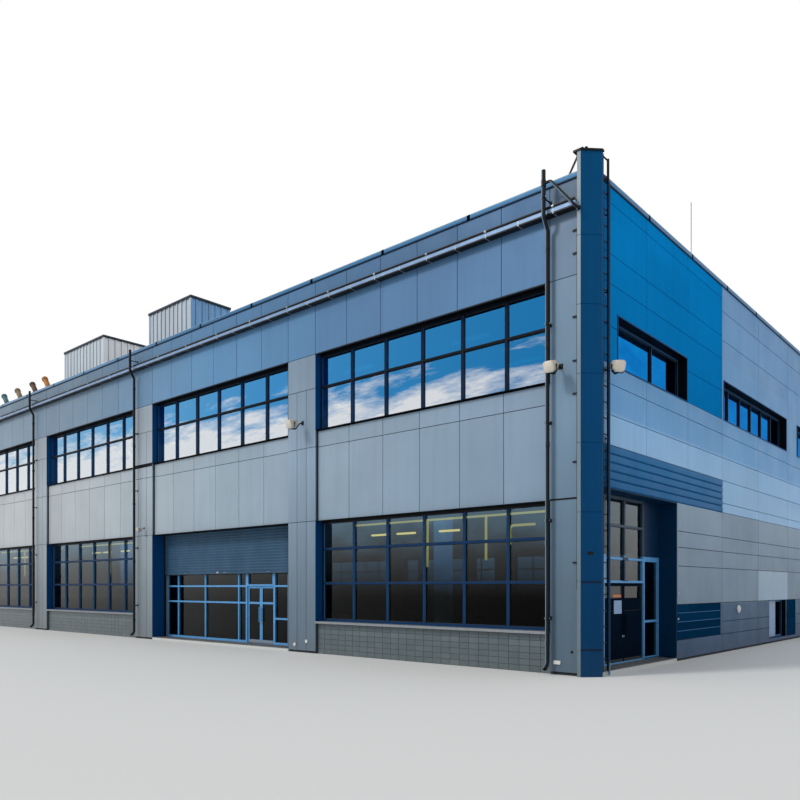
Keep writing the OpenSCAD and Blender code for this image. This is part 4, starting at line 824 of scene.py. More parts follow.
def moulded_plastic(name, colour):
    """Injection-moulded plastic: even colour with a fine spark-eroded grain and a little dust."""
    material, tree, shader, coords = start(name, Roughness=0.45)
    grime = add(tree, "Math", noise(tree, coords, 12.0, detail=5.0), 0.35, operation="MULTIPLY")
    feed(tree, shader, Base_Color=add(tree, "Mix", grime, colour, "#77766f"),
         Normal=relief(tree, coords, 250.0, 2.0, 0.0005, 0.4))
    return material


HOUSING_SPLIT, HOUSING_CAP = -6.5, DECK_Z + 3.83
FINISHES = {}


def finish_all(look):
    """Makes every finish once and puts those of the frame's nodes on them."""
    f = FINISHES
    along_x, along_y, up = 0, 1, 2
    f["cassette"] = coated_cassette(
        "coated_steel_cassettes", (along_x, ((-14.0, "#b6bbbf"), (-4.8, "#afb8be"), (4.8, "#96a8b6"),
                                             (14.2, "#849aae"), (18.0, "#7c92a8"))),
        FRONT_JOINTS, FRONT_ROWS)
    f["strip"] = coated_cassette(
        "coated_steel_pilasters", (along_x, ((-19.0, "#b0b8bf"), (0.0, "#a6b3be"), (9.5, "#889eb3"),
                                             (18.7, "#728ea6"))),
        STRIP_JOINTS, FRONT_ROWS, seed=5, streaks=0.1, spread=0.03,
        # painted shade: darker towards the foot and towards the band
        shade=(up, ((0.0, "#bcbebd"), (2.0, "#c7c9c8"), (6.0, "#ffffff"), (9.0, "#e2e4e6"))))
    f["band"] = coated_cassette(
        "coated_steel_eaves_band", (along_x, ((-19.0, "#93a7b8"), (-5.0, "#7d98b0"), (4.8, "#6398c6"),
                                              (14.2, "#5781ac"), (18.34, "#5781ac"),
                                              (18.36, "#6d859e"), (19.0, "#6d859e"))),
        FRONT_JOINTS, [9.25, 11.0], seed=9, foot=0.0, shine=0.25,
        # painted shade: darker on the parapet above the gutter
        shade=(up, ((9.0, "#ececec"), (10.6, "#e6e6e6"), (10.8, "#cfd2d4"), (12.0, "#cfd2d4"))))
    f["pale"] = coated_cassette(
        "coated_steel_pale_sheets", (up, ((0.0, "#2f4d70"), (1.54, "#3d5c7c"), (1.58, "#7a8fa2"),
                                          (4.36, "#859cb0"), (4.4, "#94bfe5"), (6.1, "#8bbae3"),
                                          (6.2, "#67a2d5"), (7.6, "#6199c9"), (12.0, "#5f92c2"))),
        SIDE_JOINTS, SIDE_ROWS, along=along_y, spread=0.045, seed=13, shine=0.15, metal=0.0,
        patch=(FRONT_Y + 12.4, FRONT_Y + 16.15, 1.57, 2.64, "#a5bccf"))
    f["blue"] = coated_cassette(
        "coated_steel_blue_sheets", (up, ((7.0, "#0a7cc0"), (9.5, "#0a82c8"), (12.0, "#0a86ce"))),
        SIDE_JOINTS, SIDE_ROWS, along=along_y, spread=0.03, seed=17, metal=0.0, rough=0.6, shine=0.0)
    f["navy"] = coated_cassette(
        "coated_steel_navy_sheets", (up, ((0.0, "#062f4e"), (1.6, "#083656"))), SIDE_JOINTS,
        [0.58, 0.83, 1.08, 1.33], along=along_y, spread=0.12, seed=21, metal=0.0, rough=0.6, shine=0.0,
        foot=0.02)
    f["siding"] = coated_cassette(
        "rolled_steel_siding", (up, ((4.4, "#20659a"), (5.4, "#236ea2"))), SIDE_JOINTS,
        [4.6, 4.8, 5.0, 5.2], along=along_y, spread=0.03, seed=25, metal=0.0, shine=0.05)
    f["pier"] = coated_pier("coated_steel_pier")
    f["wall"] = plastered("painted_plaster_side_walls", (RIGHT_X - 0.15, abs(FRONT_Y) + 1))
    f["facade"] = plastered("painted_plaster_long_walls", (RIGHT_X + 1, abs(FRONT_Y) - 0.25))
    f["column"] = plastered("painted_columns", (RIGHT_X + 1, abs(FRONT_Y) + 1))
    f["floor"] = floated_concrete("power_floated_concrete", FLOOR_Z)
    f["upper_floor"] = floated_concrete("floated_concrete_upper_floor", UPPER_FLOOR_Z,
                                        ("#7b7c7a", "#97968f"))
    f["roof"] = roof_membrane("welded_roof_sheet")
    f["tile"] = glazed_tile("glazed_stoneware_tile")
    f["mortar"] = cement_joint("cement_mortar")
    f["sill"] = folded_metal("folded_aluminium_sill", "#8f9599", 0.6, 0.4, worn="#c8ccce")
    f["coping"] = rolled_coping("coated_aluminium_coping")
    f["gutter"] = gutter_steel("coated_steel_gutter")
    f["black"] = folded_metal("black_coated_steel", "#0d0f12", 0.1, 0.45, worn="#3c3f42", shine=0.2)
    # reveal: the near-black base is painted shade in the reveals; the faces turned right show the navy of
    # the coat
    f["reveal"] = folded_metal("navy_coated_reveal", "#070b10", 0.05, 0.5, worn="#16202b", shine=0.05,
                               flank=(1, "#08437a"))
    f["recess"] = folded_metal("midnight_coated_lining", "#052f50", 0.05, 0.5, worn="#173f60",
                               shine=0.05)
    # the bars' right-facing flanks are painted with a reflection of the blue glass
    f["ground_bar"] = folded_metal("anodised_window_bars", "#10355c", 0.1, 0.45, worn="#3c70a6",
                                   shine=0.1, flank=(1, "#376a9a"))
    f["upper_bar"] = folded_metal("dark_window_bars", "#0b1118", 0.1, 0.45, worn="#2a343e", shine=0.1,
                                  flank=(1, "#1f4d78"))
    f["light_frame"] = entrance_coat("pale_blue_door_profiles", look.profiles)
    # the pipes' left-facing side gets a pale painted highlight, on the side the sun falls on
    f["pipe"] = folded_metal("slate_rainwater_coat", look.pipes, 0.1, 0.45, worn="#2c363f", shine=0.2,
                             flank=(-1, "#7c94a8"))
    f["conduit"] = conduit_coat("painted_conduit")
    f["dark_leaf"] = folded_metal("midnight_blue_door_coat", look.leaves, 0.05, 0.45, worn="#0c1b2c",
                                  shine=0.0)
    # ground and door glass: dark foot as painted shade, pale blue head as painted sky reflection
    f["ground_glass"] = window_glass("grey_insulating_glass", ("#161914", "#7ba3ba"), veil=0.22)
    f["upper_glass"] = sun_glass("blue_sun_control_glass", UPPER_SILL, UPPER_HEAD)
    f["door_glass"] = window_glass("clear_insulating_glass", ("#1b2426", "#5f7d8a"), veil=0.2)
    f["shutter"] = shutter_steel("roll_formed_shutter_slats")
    f["rubber"] = rubber("weather_rubber")
    f["zinc"] = galvanised("galvanised_steel")
    f["housing"] = ribbed_steel("ribbed_housing_sheet")
    f["strip_light"] = lamp_strip("opal_light_cover")
    f["cream"] = folded_metal("cream_lamp_enamel", "#d9d2c4", 0.05, 0.35, worn="#9a938a")
    f["white"] = moulded_plastic("white_moulded_plastic", "#e6e6e2")
    f["lamp"] = folded_metal("cream_lamp_housing", look.lamps, 0.05, 0.4, worn="#8f8a80", shine=0.3)
    f["glow"] = lamp_strip("warm_lamp_bulb", 5.0, "#ffb85a")
    # yellow pipes and the pale casing glow as painted light; neither is a lamp
    f["yellow"] = lamp_strip("yellow_pipe_enamel_painted_glow", 2.4, "#e8b050", ("#e2b04a", "#c08f34"))
    f["casing"] = lamp_strip("pale_blue_casing_painted_glow", 0.8, "#5f93bd", ("#7fa9cb", "#6c97ba"))
    f["lap"] = folded_metal("blue_lap_joint", "#1f5a92", 0.0, 0.5, shine=0.1)
    f["brushed"] = folded_metal("brushed_stainless_steel", "#9a9fa3", 0.8, 0.35, worn="#c4c8ca")
    f["plate"] = moulded_plastic("bare_pale_plate", "#86abd6")
    f["orange"] = moulded_plastic("orange_plastic_strip", "#d4701f")
    f["pale_trim"] = folded_metal("pale_coated_trim", "#9fb1c0", 0.2, 0.4, shine=0.3)
    for tint, code, worn_code in (("teal", "#3d6f78", "#7d8f8f"), ("tan", "#8a7457", "#5c4a38"),
                                  ("brown", "#54402f", "#8a6a4a"), ("orange", "#b5742f", "#6a4427")):
        f["cowl_" + tint] = folded_metal("weathered_cowl_paint_" + tint, code, 0.1, 0.6, 0.35, 3.0,
                                         worn_code)
    worn = {
        "ground_slab": "floor", "upper_floor": "upper_floor", "roof_deck": "roof",
        "inner_columns": "column", "pilasters": "facade", "dado_walls": "mortar",
        "window_sills": "sill", "facade_walls": "facade", "parapet_coping": "coping",
        "pilaster_cassettes": "strip", "spandrel_cassettes": "cassette",
        "top_band_cassettes": "band", "eaves_gutter": "gutter", "downpipes": "black",
        "corner_pier": "pier", "pier_cap_and_brace": "black", "wall_conduits": "conduit",
        "access_ladder": "black", "side_walls": "wall", "side_wall_bands": "wall",
        "side_wall_infill": "wall", "blue_side_panels": "blue", "pale_side_panels": "pale",
        "siding_band": "siding", "navy_side_panels": "navy", "ground_window_frames": "ground_bar",
        "ground_window_glass": "ground_glass", "upper_window_frames": "upper_bar",
        "upper_window_glass": "upper_glass", "window_linings": "reveal",
        "shutter_curtain": "shutter", "shutter_housing": "black",
        "entrance_screens": "light_frame", "entrance_headers": "light_frame",
        "entrance_glass": "door_glass", "recess_lining": "recess",
        "front_leaf_left": "light_frame", "front_leaf_right": "light_frame",
        "front_glass_left": "door_glass", "front_glass_right": "door_glass",
        "side_leaf_near": "dark_leaf", "side_leaf_far": "dark_leaf",
        "side_glass_near": "door_glass", "side_glass_far": "door_glass",
        "wall_lamps": "cream", "ceiling_lights": "strip_light", "roof_housings": "housing",
        "exhaust_cowls": "zinc", "lightning_rod": "zinc",
    }
    for node, name in worn.items():
        for place in NODES[node].material_slots:
            place.material = f[name]


# Fittings

GROUND_BAYS = [b for k, b in enumerate(BAY_STARTS) if k != SHUTTER_BAY]
TILES, COURSES = 27, 6
TILE = (BAY_W / TILES, 0.153)
SHUTTER_U = float(BAY_STARTS[SHUTTER_BAY])


def dado_tiles():
    """Tiles at u = start + (i + 1/2) * width and z = (j + 1/2) * height, each a thin plate with a
    chamfered face and a random tone; the second course from the top is a paler one."""
    i, j = (q.ravel() for q in np.meshgrid(np.arange(TILES), np.arange(COURSES)))
    rng = np.random.default_rng(3)
    joint = bpy.context.scene.factory_look.tile_joint
    half_w, half_h = ((side - joint) / 2 for side in TILE)
    surfaces, tones = [], []
    for turn, starts in ((None, GROUND_BAYS), (back, BAY_STARTS)):
        for start_u in starts:
            u, z = start_u + (i + 0.5) * TILE[0], (j + 0.5) * TILE[1]
            tile = plates(on_front(u - half_w, -SETBACK, z - half_h),
                          on_front(u + half_w, 0.01 - SETBACK, z + half_h), 0.003)
            surfaces.append(turn(tile) if turn else tile)
            # the top course (j == 5) is darkened as the sill's painted shadow
            tone = np.clip(rng.normal(0.45, 0.14, len(u)) + 0.25 * (j == 4) - 0.2 * (j == 5), 0, 1)
            tones.append(np.repeat(tone, 12))
    return build("dado_tiles", surfaces, ["tile"], tones=np.concatenate(tones))


PIPE_OUT, HEAD_OUT = 0.15, 0.325  # from the cladding to the pipe's axis, below and at its head
SOCKET_HEIGHTS, CLIP_HEIGHTS = (0.75, 3.1, 5.4, 7.7, 10.0), (1.32, 3.62, 5.92, 8.22)
PIPES = ((END_W - 0.02, PARAPET_Z + 0.28), (END_W + 2 * BAY_PITCH - 0.18, PARAPET_Z + 0.06),
         (END_W + 3 * BAY_PITCH - 0.18, PARAPET_Z + 0.06))


def rainwater_pipes():
    """Each downpipe is an open tube along its rounded route: in front of the gutter, back to the wall
    by a swan neck, down, and out again at the shoe. Sockets, split clips and bolts sit on it."""
    radius = bpy.context.scene.factory_look.pipe_radius
    neck = GUTTER_FOOT - 0.06
    ears = np.array([-1, 1])
    surfaces = []
    for u, head in PIPES:
        route = rounded(on_front(u, np.array([HEAD_OUT, HEAD_OUT, PIPE_OUT, PIPE_OUT, PIPE_OUT + 0.13]),
                                 np.array([head, neck, neck - 0.26, 0.26, 0.13])), 0.15, 8)
        surfaces.append(pipe(route, radius, 0.003, 20, up=(1, 0, 0)))
        surfaces.append(turned([(-0.06, radius), (-0.06, radius + 0.008), (0.045, radius + 0.008),
                                (0.06, radius)], on_front(u, PIPE_OUT, SOCKET_HEIGHTS), sides=20))
        clips = np.append(on_front(u, PIPE_OUT, CLIP_HEIGHTS), on_front(u, HEAD_OUT, [11.11]), axis=0)
        surfaces.append(turned(band(radius, 0.01, 0.02), clips, sides=20))
        x, _, z = clips.T
        surfaces.append(blocks(clips + (-0.012, 0.05, -0.016), spots(x + 0.012, FRONT_Y, z + 0.016)))
        surfaces.append(blocks(spots(x - 0.035, FRONT_Y - 0.006, z - 0.045),
                               spots(x + 0.035, FRONT_Y, z + 0.045)))
        ear = (clips[:, None] + ears[:, None] * (0.069, 0, 0)).reshape(-1, 3)
        surfaces.append(blocks(ear - (0.014, 0.006, 0.016), ear + (0.014, 0.006, 0.016)))
        surfaces.append(turned([(0.006, 0.009), (0.016, 0.009)], ear, (0, -1, 0), 6, 1))
    u, head = PIPES[0]
    branch = rounded(on_front(np.array([u, u - 0.19, PIER_W - 0.045, PIER_W - 0.045]),
                              np.array([HEAD_OUT, HEAD_OUT, HEAD_OUT, 0.1]),
                              np.array([PARAPET_Z - 0.03, PARAPET_Z - 0.03, GUTTER_FOOT - 0.04,
                                        GUTTER_FOOT - 0.04])), 0.09, 8)
    surfaces.append(pipe(branch, 0.034, 0.003, 16))
    surfaces.append(turned(band(radius, 0.012, 0.07), on_front(u, HEAD_OUT, PARAPET_Z - 0.03),
                           sides=20))
    surfaces.append(turned([(0, 0.03), (0, 0.06), (0.02, 0.06), (0.035, 0.034)],
                           on_front(PIER_W - 0.045, 0.1, GUTTER_FOOT - 0.04), (0, -1, 0), 20))
    return build("rainwater_pipes", surfaces, ["pipe", "zinc"], replaces=["downpipes"])


def gutter_straps():
    """Flat straps under and before the gutter, a collar on the bead at every second one, and a drip
    bead carried along the gutter's lower edge."""
    u = np.arange(0.9, 38.6, bpy.context.scene.factory_look.strap_pitch)
    front, foot = GUTTER_W, GUTTER_FOOT
    collars = on_front(u[::2], GUTTER_W, GUTTER_Z)
    surfaces = [
        front_boxes(u - 0.014, u + 0.014, front - 0.001, front + 0.004, foot - 0.004, GUTTER_Z - 0.025,
                    0.001, 1),
        front_boxes(u - 0.014, u + 0.014, 0.0, front + 0.004, foot - 0.005, foot + 0.001, 0.001, 1),
        turned(band(BEAD_R, 0.005, 0.03), collars, (1, 0, 0), 20, 1),
        # the black drip bead also serves as painted shade under the gutter
        rod(on_front(np.linspace(PIER_W, 38.9, 60), front - 0.012, foot), 0.012, 10),
    ]
    return build("gutter_straps", surfaces, ["black", "zinc"])


def coping_covers():
    """Cover strips 0.1 m wide over the joints of the coping, 3 m apart: the coping's own section,
    3 mm larger, carried along the wall."""
    def section(depth):
        top, low = COPING_TOP - PARAPET_Z, COPING_TOP - PARAPET_Z - 0.025
        return [(0.035, 0.0), (0.035, top + 0.003), (-depth, low + 0.003), (-depth, 0.0),
                (0.008 - depth, 0.0), (0.008 - depth, low - 0.008), (0.03, top - 0.008), (0.03, 0.0)]

    long = np.array(section(0.538)) + (0, PARAPET_Z)
    short = np.array(section(0.428)) + (0, PARAPET_Z)
    front_u, side_v = np.arange(3.4, 38.0, 3.0), np.arange(3.0, 25.0, 3.0)
    front = lengthwise(long, front_u, 0.1, on_front)
    side = lengthwise(short, side_v, 0.1, on_side)
    return build("coping_covers", [front, back(front), side, left(side)], ["coping"])


def window_rows():
    """Every window: place on the wall, start, width, foot, head, uprights, rails, reveal, turn."""
    equal = lambda width, n: np.arange(1, n) * width / n
    rows = []
    for turn, starts in ((None, GROUND_BAYS), (back, BAY_STARTS)):
        rows += [(on_front, b, BAY_W, GROUND_SILL, GROUND_HEAD, equal(BAY_W, LIGHTS),
                  GROUND_RAILS, GROUND_REVEAL, turn) for b in starts]
    for turn in (None, back):
        rows += [(on_front, b, BAY_W, UPPER_SILL, UPPER_HEAD, equal(BAY_W, LIGHTS), UPPER_RAILS,
                  UPPER_REVEAL, turn) for b in BAY_STARTS]
    for turn in (None, left):
        rows += [(on_side, v, w, SIDE_SILL, SIDE_HEAD, (w * 0.58,) if n == 2 else equal(w, n), (),
                  SIDE_REVEAL, turn) for v, w, n in SIDE_WINDOWS]
    rows.append((on_side, HATCH_V, HATCH_W, HATCH_FOOT, HATCH_HEAD, (HATCH_W * 0.6,), (), HATCH_REVEAL,
                 None))
    return rows


def glazing():
    """Rubber gaskets, mitred round every pane against the glass, and narrow pressure caps with
    chamfered edges along the bars."""
    gaskets, caps = [], []
    half = bpy.context.scene.factory_look.cap_width / 2
    for place, start, width, foot, head, uprights, rails, reveal, turn in window_rows():
        side = place is on_side
        glass = -reveal - (0.048 if side else 0.06)
        a0, a1, b0, b1 = lights(start, width, foot, head, uprights, rails)
        ring = mitred(place, a0, a1, b0, b1, [(0, glass), (0.012, glass), (0.012, glass + 0.006),
                                              (0, glass + 0.01)])
        a = start + np.asarray(uprights)
        b = np.asarray(rails, float)
        low = [place(a - half, -reveal, foot + RIM)]
        high = [place(a + half, 0.007 - reveal, head - RIM)]
        if len(b):
            low.append(place(start + RIM, -reveal, b - half))
            high.append(place(start + width - RIM, 0.005 - reveal, b + half))
        cap = plates(np.concatenate(low), np.concatenate(high), 0.003, 0 if side else 1,
                     1 if side else -1)
        gaskets.append(turn(ring) if turn else ring)
        caps.append((turn(cap) if turn else cap)[:2] + (0 if foot < 2 else 1,))
    build("window_gaskets", gaskets, ["rubber"])
    build("mullion_caps", caps, ["ground_bar", "upper_bar"])


def flashings():
    """Folded sheets carried along the windows: drip strips over the heads and sloping sills with a
    turned-down nose under the upper windows; dark covers on the head and the far upright of the ground
    frames, a dark strip round the corner panel, and a collar on the pilaster beside the shutter."""
    sill = [(-UPPER_REVEAL, UPPER_SILL - 0.004), (-UPPER_REVEAL, UPPER_SILL + 0.022),
            (-0.07, UPPER_SILL + 0.01), (-0.07, UPPER_SILL - 0.035), (-0.075, UPPER_SILL - 0.035),
            (-0.075, UPPER_SILL - 0.004)]
    head = [(-0.002, UPPER_HEAD - 0.012), (0.016, UPPER_HEAD - 0.03), (0.018, UPPER_HEAD - 0.03),
            (0.018, UPPER_HEAD + 0.004), (-0.002, UPPER_HEAD + 0.012)]
    ground = [(0.0 - SETBACK, GROUND_HEAD - 0.002), (0.014 - SETBACK, GROUND_HEAD - 0.02),
              (0.016 - SETBACK, GROUND_HEAD + 0.01), (0.0 - SETBACK, GROUND_HEAD + 0.016)]
    surfaces = []
    for section, finish in ((sill, 1), (head, 0), (ground, 0)):
        strip = lengthwise(section, BAY_STARTS, BAY_W, on_front, finish)
        surfaces += [strip, back(strip)]
    # dark covers painted as the reveals' shadow over the frames' head and far upright
    for low, high, foot in ((0.013, BAY_W - 0.013, GROUND_HEAD - RIM),
                            (BAY_W - RIM, BAY_W - 0.013, GROUND_SILL + RIM)):
        u = np.array(GROUND_BAYS)
        surfaces.append(front_boxes(u + low, u + high, -GROUND_REVEAL, 0.008 - GROUND_REVEAL, foot,
                                    GROUND_HEAD - (0.013 if foot > 2 else RIM), 0.002, 0))
    v, w = np.array(SIDE_WINDOWS)[:, :2].T
    surround = mitred(on_side, v, v + w, SIDE_SILL, SIDE_HEAD, [(0, 0), (0.014, 0), (0.014, 0.012),
                                                                (-0.02, 0.012), (-0.02, 0)], 1)
    surfaces += [surround, left(surround)]
    surfaces.append(front_boxes(PIER_W + 0.01, END_W - 0.005, 0, 0.012, 4.085, 4.125, 0.003, 0))
    surfaces.append(front_boxes(SHUTTER_U + BAY_W + 0.005, SHUTTER_U + BAY_PITCH - 0.005, 0, 0.02,
                                6.82, 6.95, 0.006, 1))
    return build("flashings", surfaces, ["black", "reveal"])


def shutter_fittings():
    """On the roller shutter: a rubber seal under the bottom rail, bent lift handles, a lock case, and
    brush strips along both guides."""
    u0, u1, rail_z, out = SHUTTER_U, SHUTTER_U + BAY_W, 2.54, -0.54
    seal = lengthwise([(out - 0.016, rail_z + 0.002), (out + 0.016, rail_z + 0.002),
                       (out + 0.012, rail_z - 0.02), (out, rail_z - 0.028), (out - 0.012, rail_z - 0.02)],
                      u0 + 0.07, BAY_W - 0.14, on_front, 1)
    surfaces = [seal]
    for u in (u0 + 1.6, u0 + BAY_W / 2, u1 - 1.6):
        grip = rounded(on_front(u + np.array([-0.09, -0.09, 0.09, 0.09]),
                                out + 0.018 + np.array([-0.002, 0.04, 0.04, -0.002]),
                                rail_z + np.array([0.045, 0.045, 0.045, 0.045])), 0.02, 5)
        surfaces.append(rod(grip, 0.007, 10, finish=0))
    surfaces.append(front_boxes(u0 + 4.5, u0 + 4.64, out + 0.018, out + 0.036, rail_z + 0.012,
                                rail_z + 0.08, 0.004, 0))
    for u in (u0 + 0.06, u1 - 0.06):
        surfaces.append(front_boxes(u - 0.006, u + 0.006, out + 0.012, out + 0.03, 0.12, 4.08, 0.002, 1))
    return build("shutter_fittings", surfaces, ["zinc", "rubber"])


SIDE_PANES, FRONT_PANES = ((1.44, 2.084),), ((0.22, 1.465), (1.535, 2.014))
INFILL_TOP = 1.77
LEAVES = (  # name, body, place, hinge edge, free edge, outer face, dark
    ("front_left", "front_door_left", on_front, 13.584, 12.861, -0.688, False),
    ("front_right", "front_door_right", on_front, 12.126, 12.849, -0.688, False),
    ("side_near", "side_door_near", on_side, 1.616, 2.754, -0.548, True),
    ("side_far", "side_door_far", on_side, 3.904, 2.766, -0.548, True),
)


def door_furniture():
    """On each leaf: a kick plate, a foot brush, a lock rose with its cylinder, and beads round the
    panes; in the side leaves a dark infill over the foot of the pane, and on the near one a bare
    plate under an orange strip."""
    for name, body, place, hinge, free, face, dark in LEAVES:
        axis, sign = ((0, 1) if place is on_side else (1, -1))
        inward = 1 if free > hinge else -1
        lock = free - inward * 0.035
        outwards = (1, 0, 0) if place is on_side else (0, -1, 0)
        surfaces = [
            plates(place(hinge + inward * 0.03, face, 0.125), place(free - inward * 0.03, face + 0.003,
                                                                    0.208), 0.001, axis, sign,
                   1 if dark else 0),
            blocks(place(hinge + inward * 0.02, face - 0.03, 0.1045),
                   place(free - inward * 0.02, face - 0.01, 0.112), 0.002, 1),
            turned([(0, 0.027), (0.006, 0.027), (0.008, 0.024), (0.008, 0.012), (0.014, 0.011)],
                   place(lock, face, 0.78), outwards, 24, 0),
            blocks(place(lock - 0.003, face + 0.012, 0.772), place(lock + 0.003, face + 0.0155, 0.79),
                   0.001, 1),
        ]
        a0, a1 = sorted((hinge + inward * 0.07, free - inward * 0.07))
        foot, top = zip(*(SIDE_PANES if dark else FRONT_PANES))
        surfaces.append(mitred(place, a0, a1, np.array(foot), np.array(top),
                               [(0, face - 0.022), (0.012, face - 0.022), (0.012, face - 0.012),
                                (0, face - 0.004)], 1))
        if dark:
            surfaces.append(plates(place(a0 + 0.013, face - 0.02, 1.453),
                                   place(a1 - 0.013, face - 0.003, INFILL_TOP), 0.002, axis, sign, 4))
        if name == "side_near":
            surfaces.append(plates(place(2.22, face, 1.37), place(2.66, face + 0.003, 1.71), 0.001,
                                   0, 1, 2))
            surfaces.append(plates(place(2.2, face - 0.02, 1.79), place(2.67, face - 0.015, 1.86), 0.001,
                                   0, 1, 3))
        build(name + "_furniture", surfaces, ["brushed", "rubber", "plate", "orange", "dark_leaf"],
              body=body)


LAMP_Z = 7.2
LAMPS = (  # place on the wall, along it, height, size, degrees that the arm is swung
    (on_front, 0.81, LAMP_Z, 1.0, 0), (on_front, END_W + BAY_PITCH - 0.7, LAMP_Z, 1.0, 0),
    (on_side, 0.8, LAMP_Z, 1.0, -38), (on_front, END_W + 2 * BAY_PITCH - 0.7, 4.4, 0.55, 0),
)


def floodlights():
    """Floodlights: a wall plate, a bent arm and a yoke carry a head 0.25 m square with rounded corners
    (a fourth-power oval carried along its axis), fins behind and a domed opal lens in front, tilted
    20 degrees down."""
    tilt = unit(np.array([0, -0.28, -0.1]))
    start_at = np.array([0, -0.288, -0.025])
    oval = circle(1, 36)
    oval /= (oval ** 4).sum(axis=1, keepdims=True) ** 0.25
    yoke = rounded([(-0.142, -0.44, -0.075), (-0.142, -0.44, -0.245), (0.142, -0.44, -0.245),
                    (0.142, -0.44, -0.075)], 0.04, 6)
    arm = rounded([(0, -0.008, -0.005), (0, -0.12, -0.03), (0, -0.3, -0.235), (0, -0.445, -0.245)],
                  0.08, 6)

    def swept(rows, finish):
        rows = np.array(rows)
        return skinned(carried(start_at + rows[:, :1] * tilt, oval, scale=rows[:, 1])[None],
                       finish=finish)

    local = [
        blocks([[-0.06, -0.012, -0.065]], [[0.06, 0.0, 0.065]], 0.004, 1),
        rod(arm, 0.019, 14, up=(1, 0, 0), finish=1),
        rod(yoke, 0.011, 12, up=(0, 1, 0), finish=1),
        turned([(-0.012, 0.02), (0.006, 0.024)], [(-0.142, -0.44, -0.075), (0.136, -0.44, -0.075)],
               (1, 0, 0), 16, 1),
        swept([(0.0, 0.03), (0.004, 0.07), (0.03, 0.1), (0.08, 0.113), (0.2, 0.12), (0.27, 0.124),
               (0.275, 0.131), (0.3, 0.131), (0.304, 0.124)], 0),
        turned([(-0.004, 0.05), (-0.004, 0.112), (0.004, 0.114), (0.004, 0.05)],
               start_at + np.array([0.025, 0.05, 0.075, 0.1])[:, None] * tilt, tilt, 24, 0),
        swept([(0.3, 0.116), (0.309, 0.112), (0.318, 0.092), (0.325, 0.055), (0.328, 0.008)], 2),
    ]
    surfaces = []
    share = bpy.context.scene.factory_look.lamp_size
    for place, along, z, size, swing in LAMPS:
        c, n = math.cos(math.radians(swing)), math.sin(math.radians(swing))
        for number, (points, faces, finish) in enumerate(local):
            x, y, up = (share * size * points[:, i] for i in range(3))
            if place is on_side:
                x, y = -y, x
            if number:
                x, y = c * x - n * y, n * x + c * y
            surfaces.append((place(along, 0.0, z) + spots(x, y, up), faces, finish))
    return build("floodlights", surfaces, ["lamp", "black", "cream"],
                 replaces=["wall_lamps"])


RUNG_PITCH, BRACKETS = 0.37, (5.5, 7.1, 8.9, 10.7)


def ladder_fittings():
    """On the ladder: collars where the rungs enter the stiles, wall plates with their bolts behind
    the brackets, a flat stringer on the far stile, and domed caps on both."""
    near, far, out, top = 0.335, 0.62, 0.07, PIER_TOP - 0.06
    rungs = np.arange(0.4, top - 0.15, RUNG_PITCH)
    ends = np.concatenate([on_side(near + 0.028, out, rungs), on_side(far - 0.028, out, rungs)])
    z, v = (q.ravel() for q in np.meshgrid(BRACKETS, [near, far]))
    bolts = np.concatenate([on_side(v, 0.006, z - 0.05), on_side(v, 0.006, z + 0.05)])
    surfaces = [
        turned(band(0.013, 0.007, 0.007), ends, (0, 1, 0), 12),
        side_boxes(v - 0.03, v + 0.03, 0.0, 0.006, z - 0.075, z + 0.075, 0.002),
        side_boxes(far - 0.055, far + 0.035, out + 0.03, out + 0.042, 0.3, top - 0.5, 0.003, 2),
        turned([(0, 0.012), (0.008, 0.012)], bolts, (1, 0, 0), 6, 1),
        turned([(0.0, 0.031), (0.01, 0.028), (0.02, 0.018), (0.024, 0.004)],
               on_side(np.array([near, far]), out, top + 0.03), sides=20),
    ]
    return build("ladder_fittings", surfaces, ["black", "zinc", "recess"])


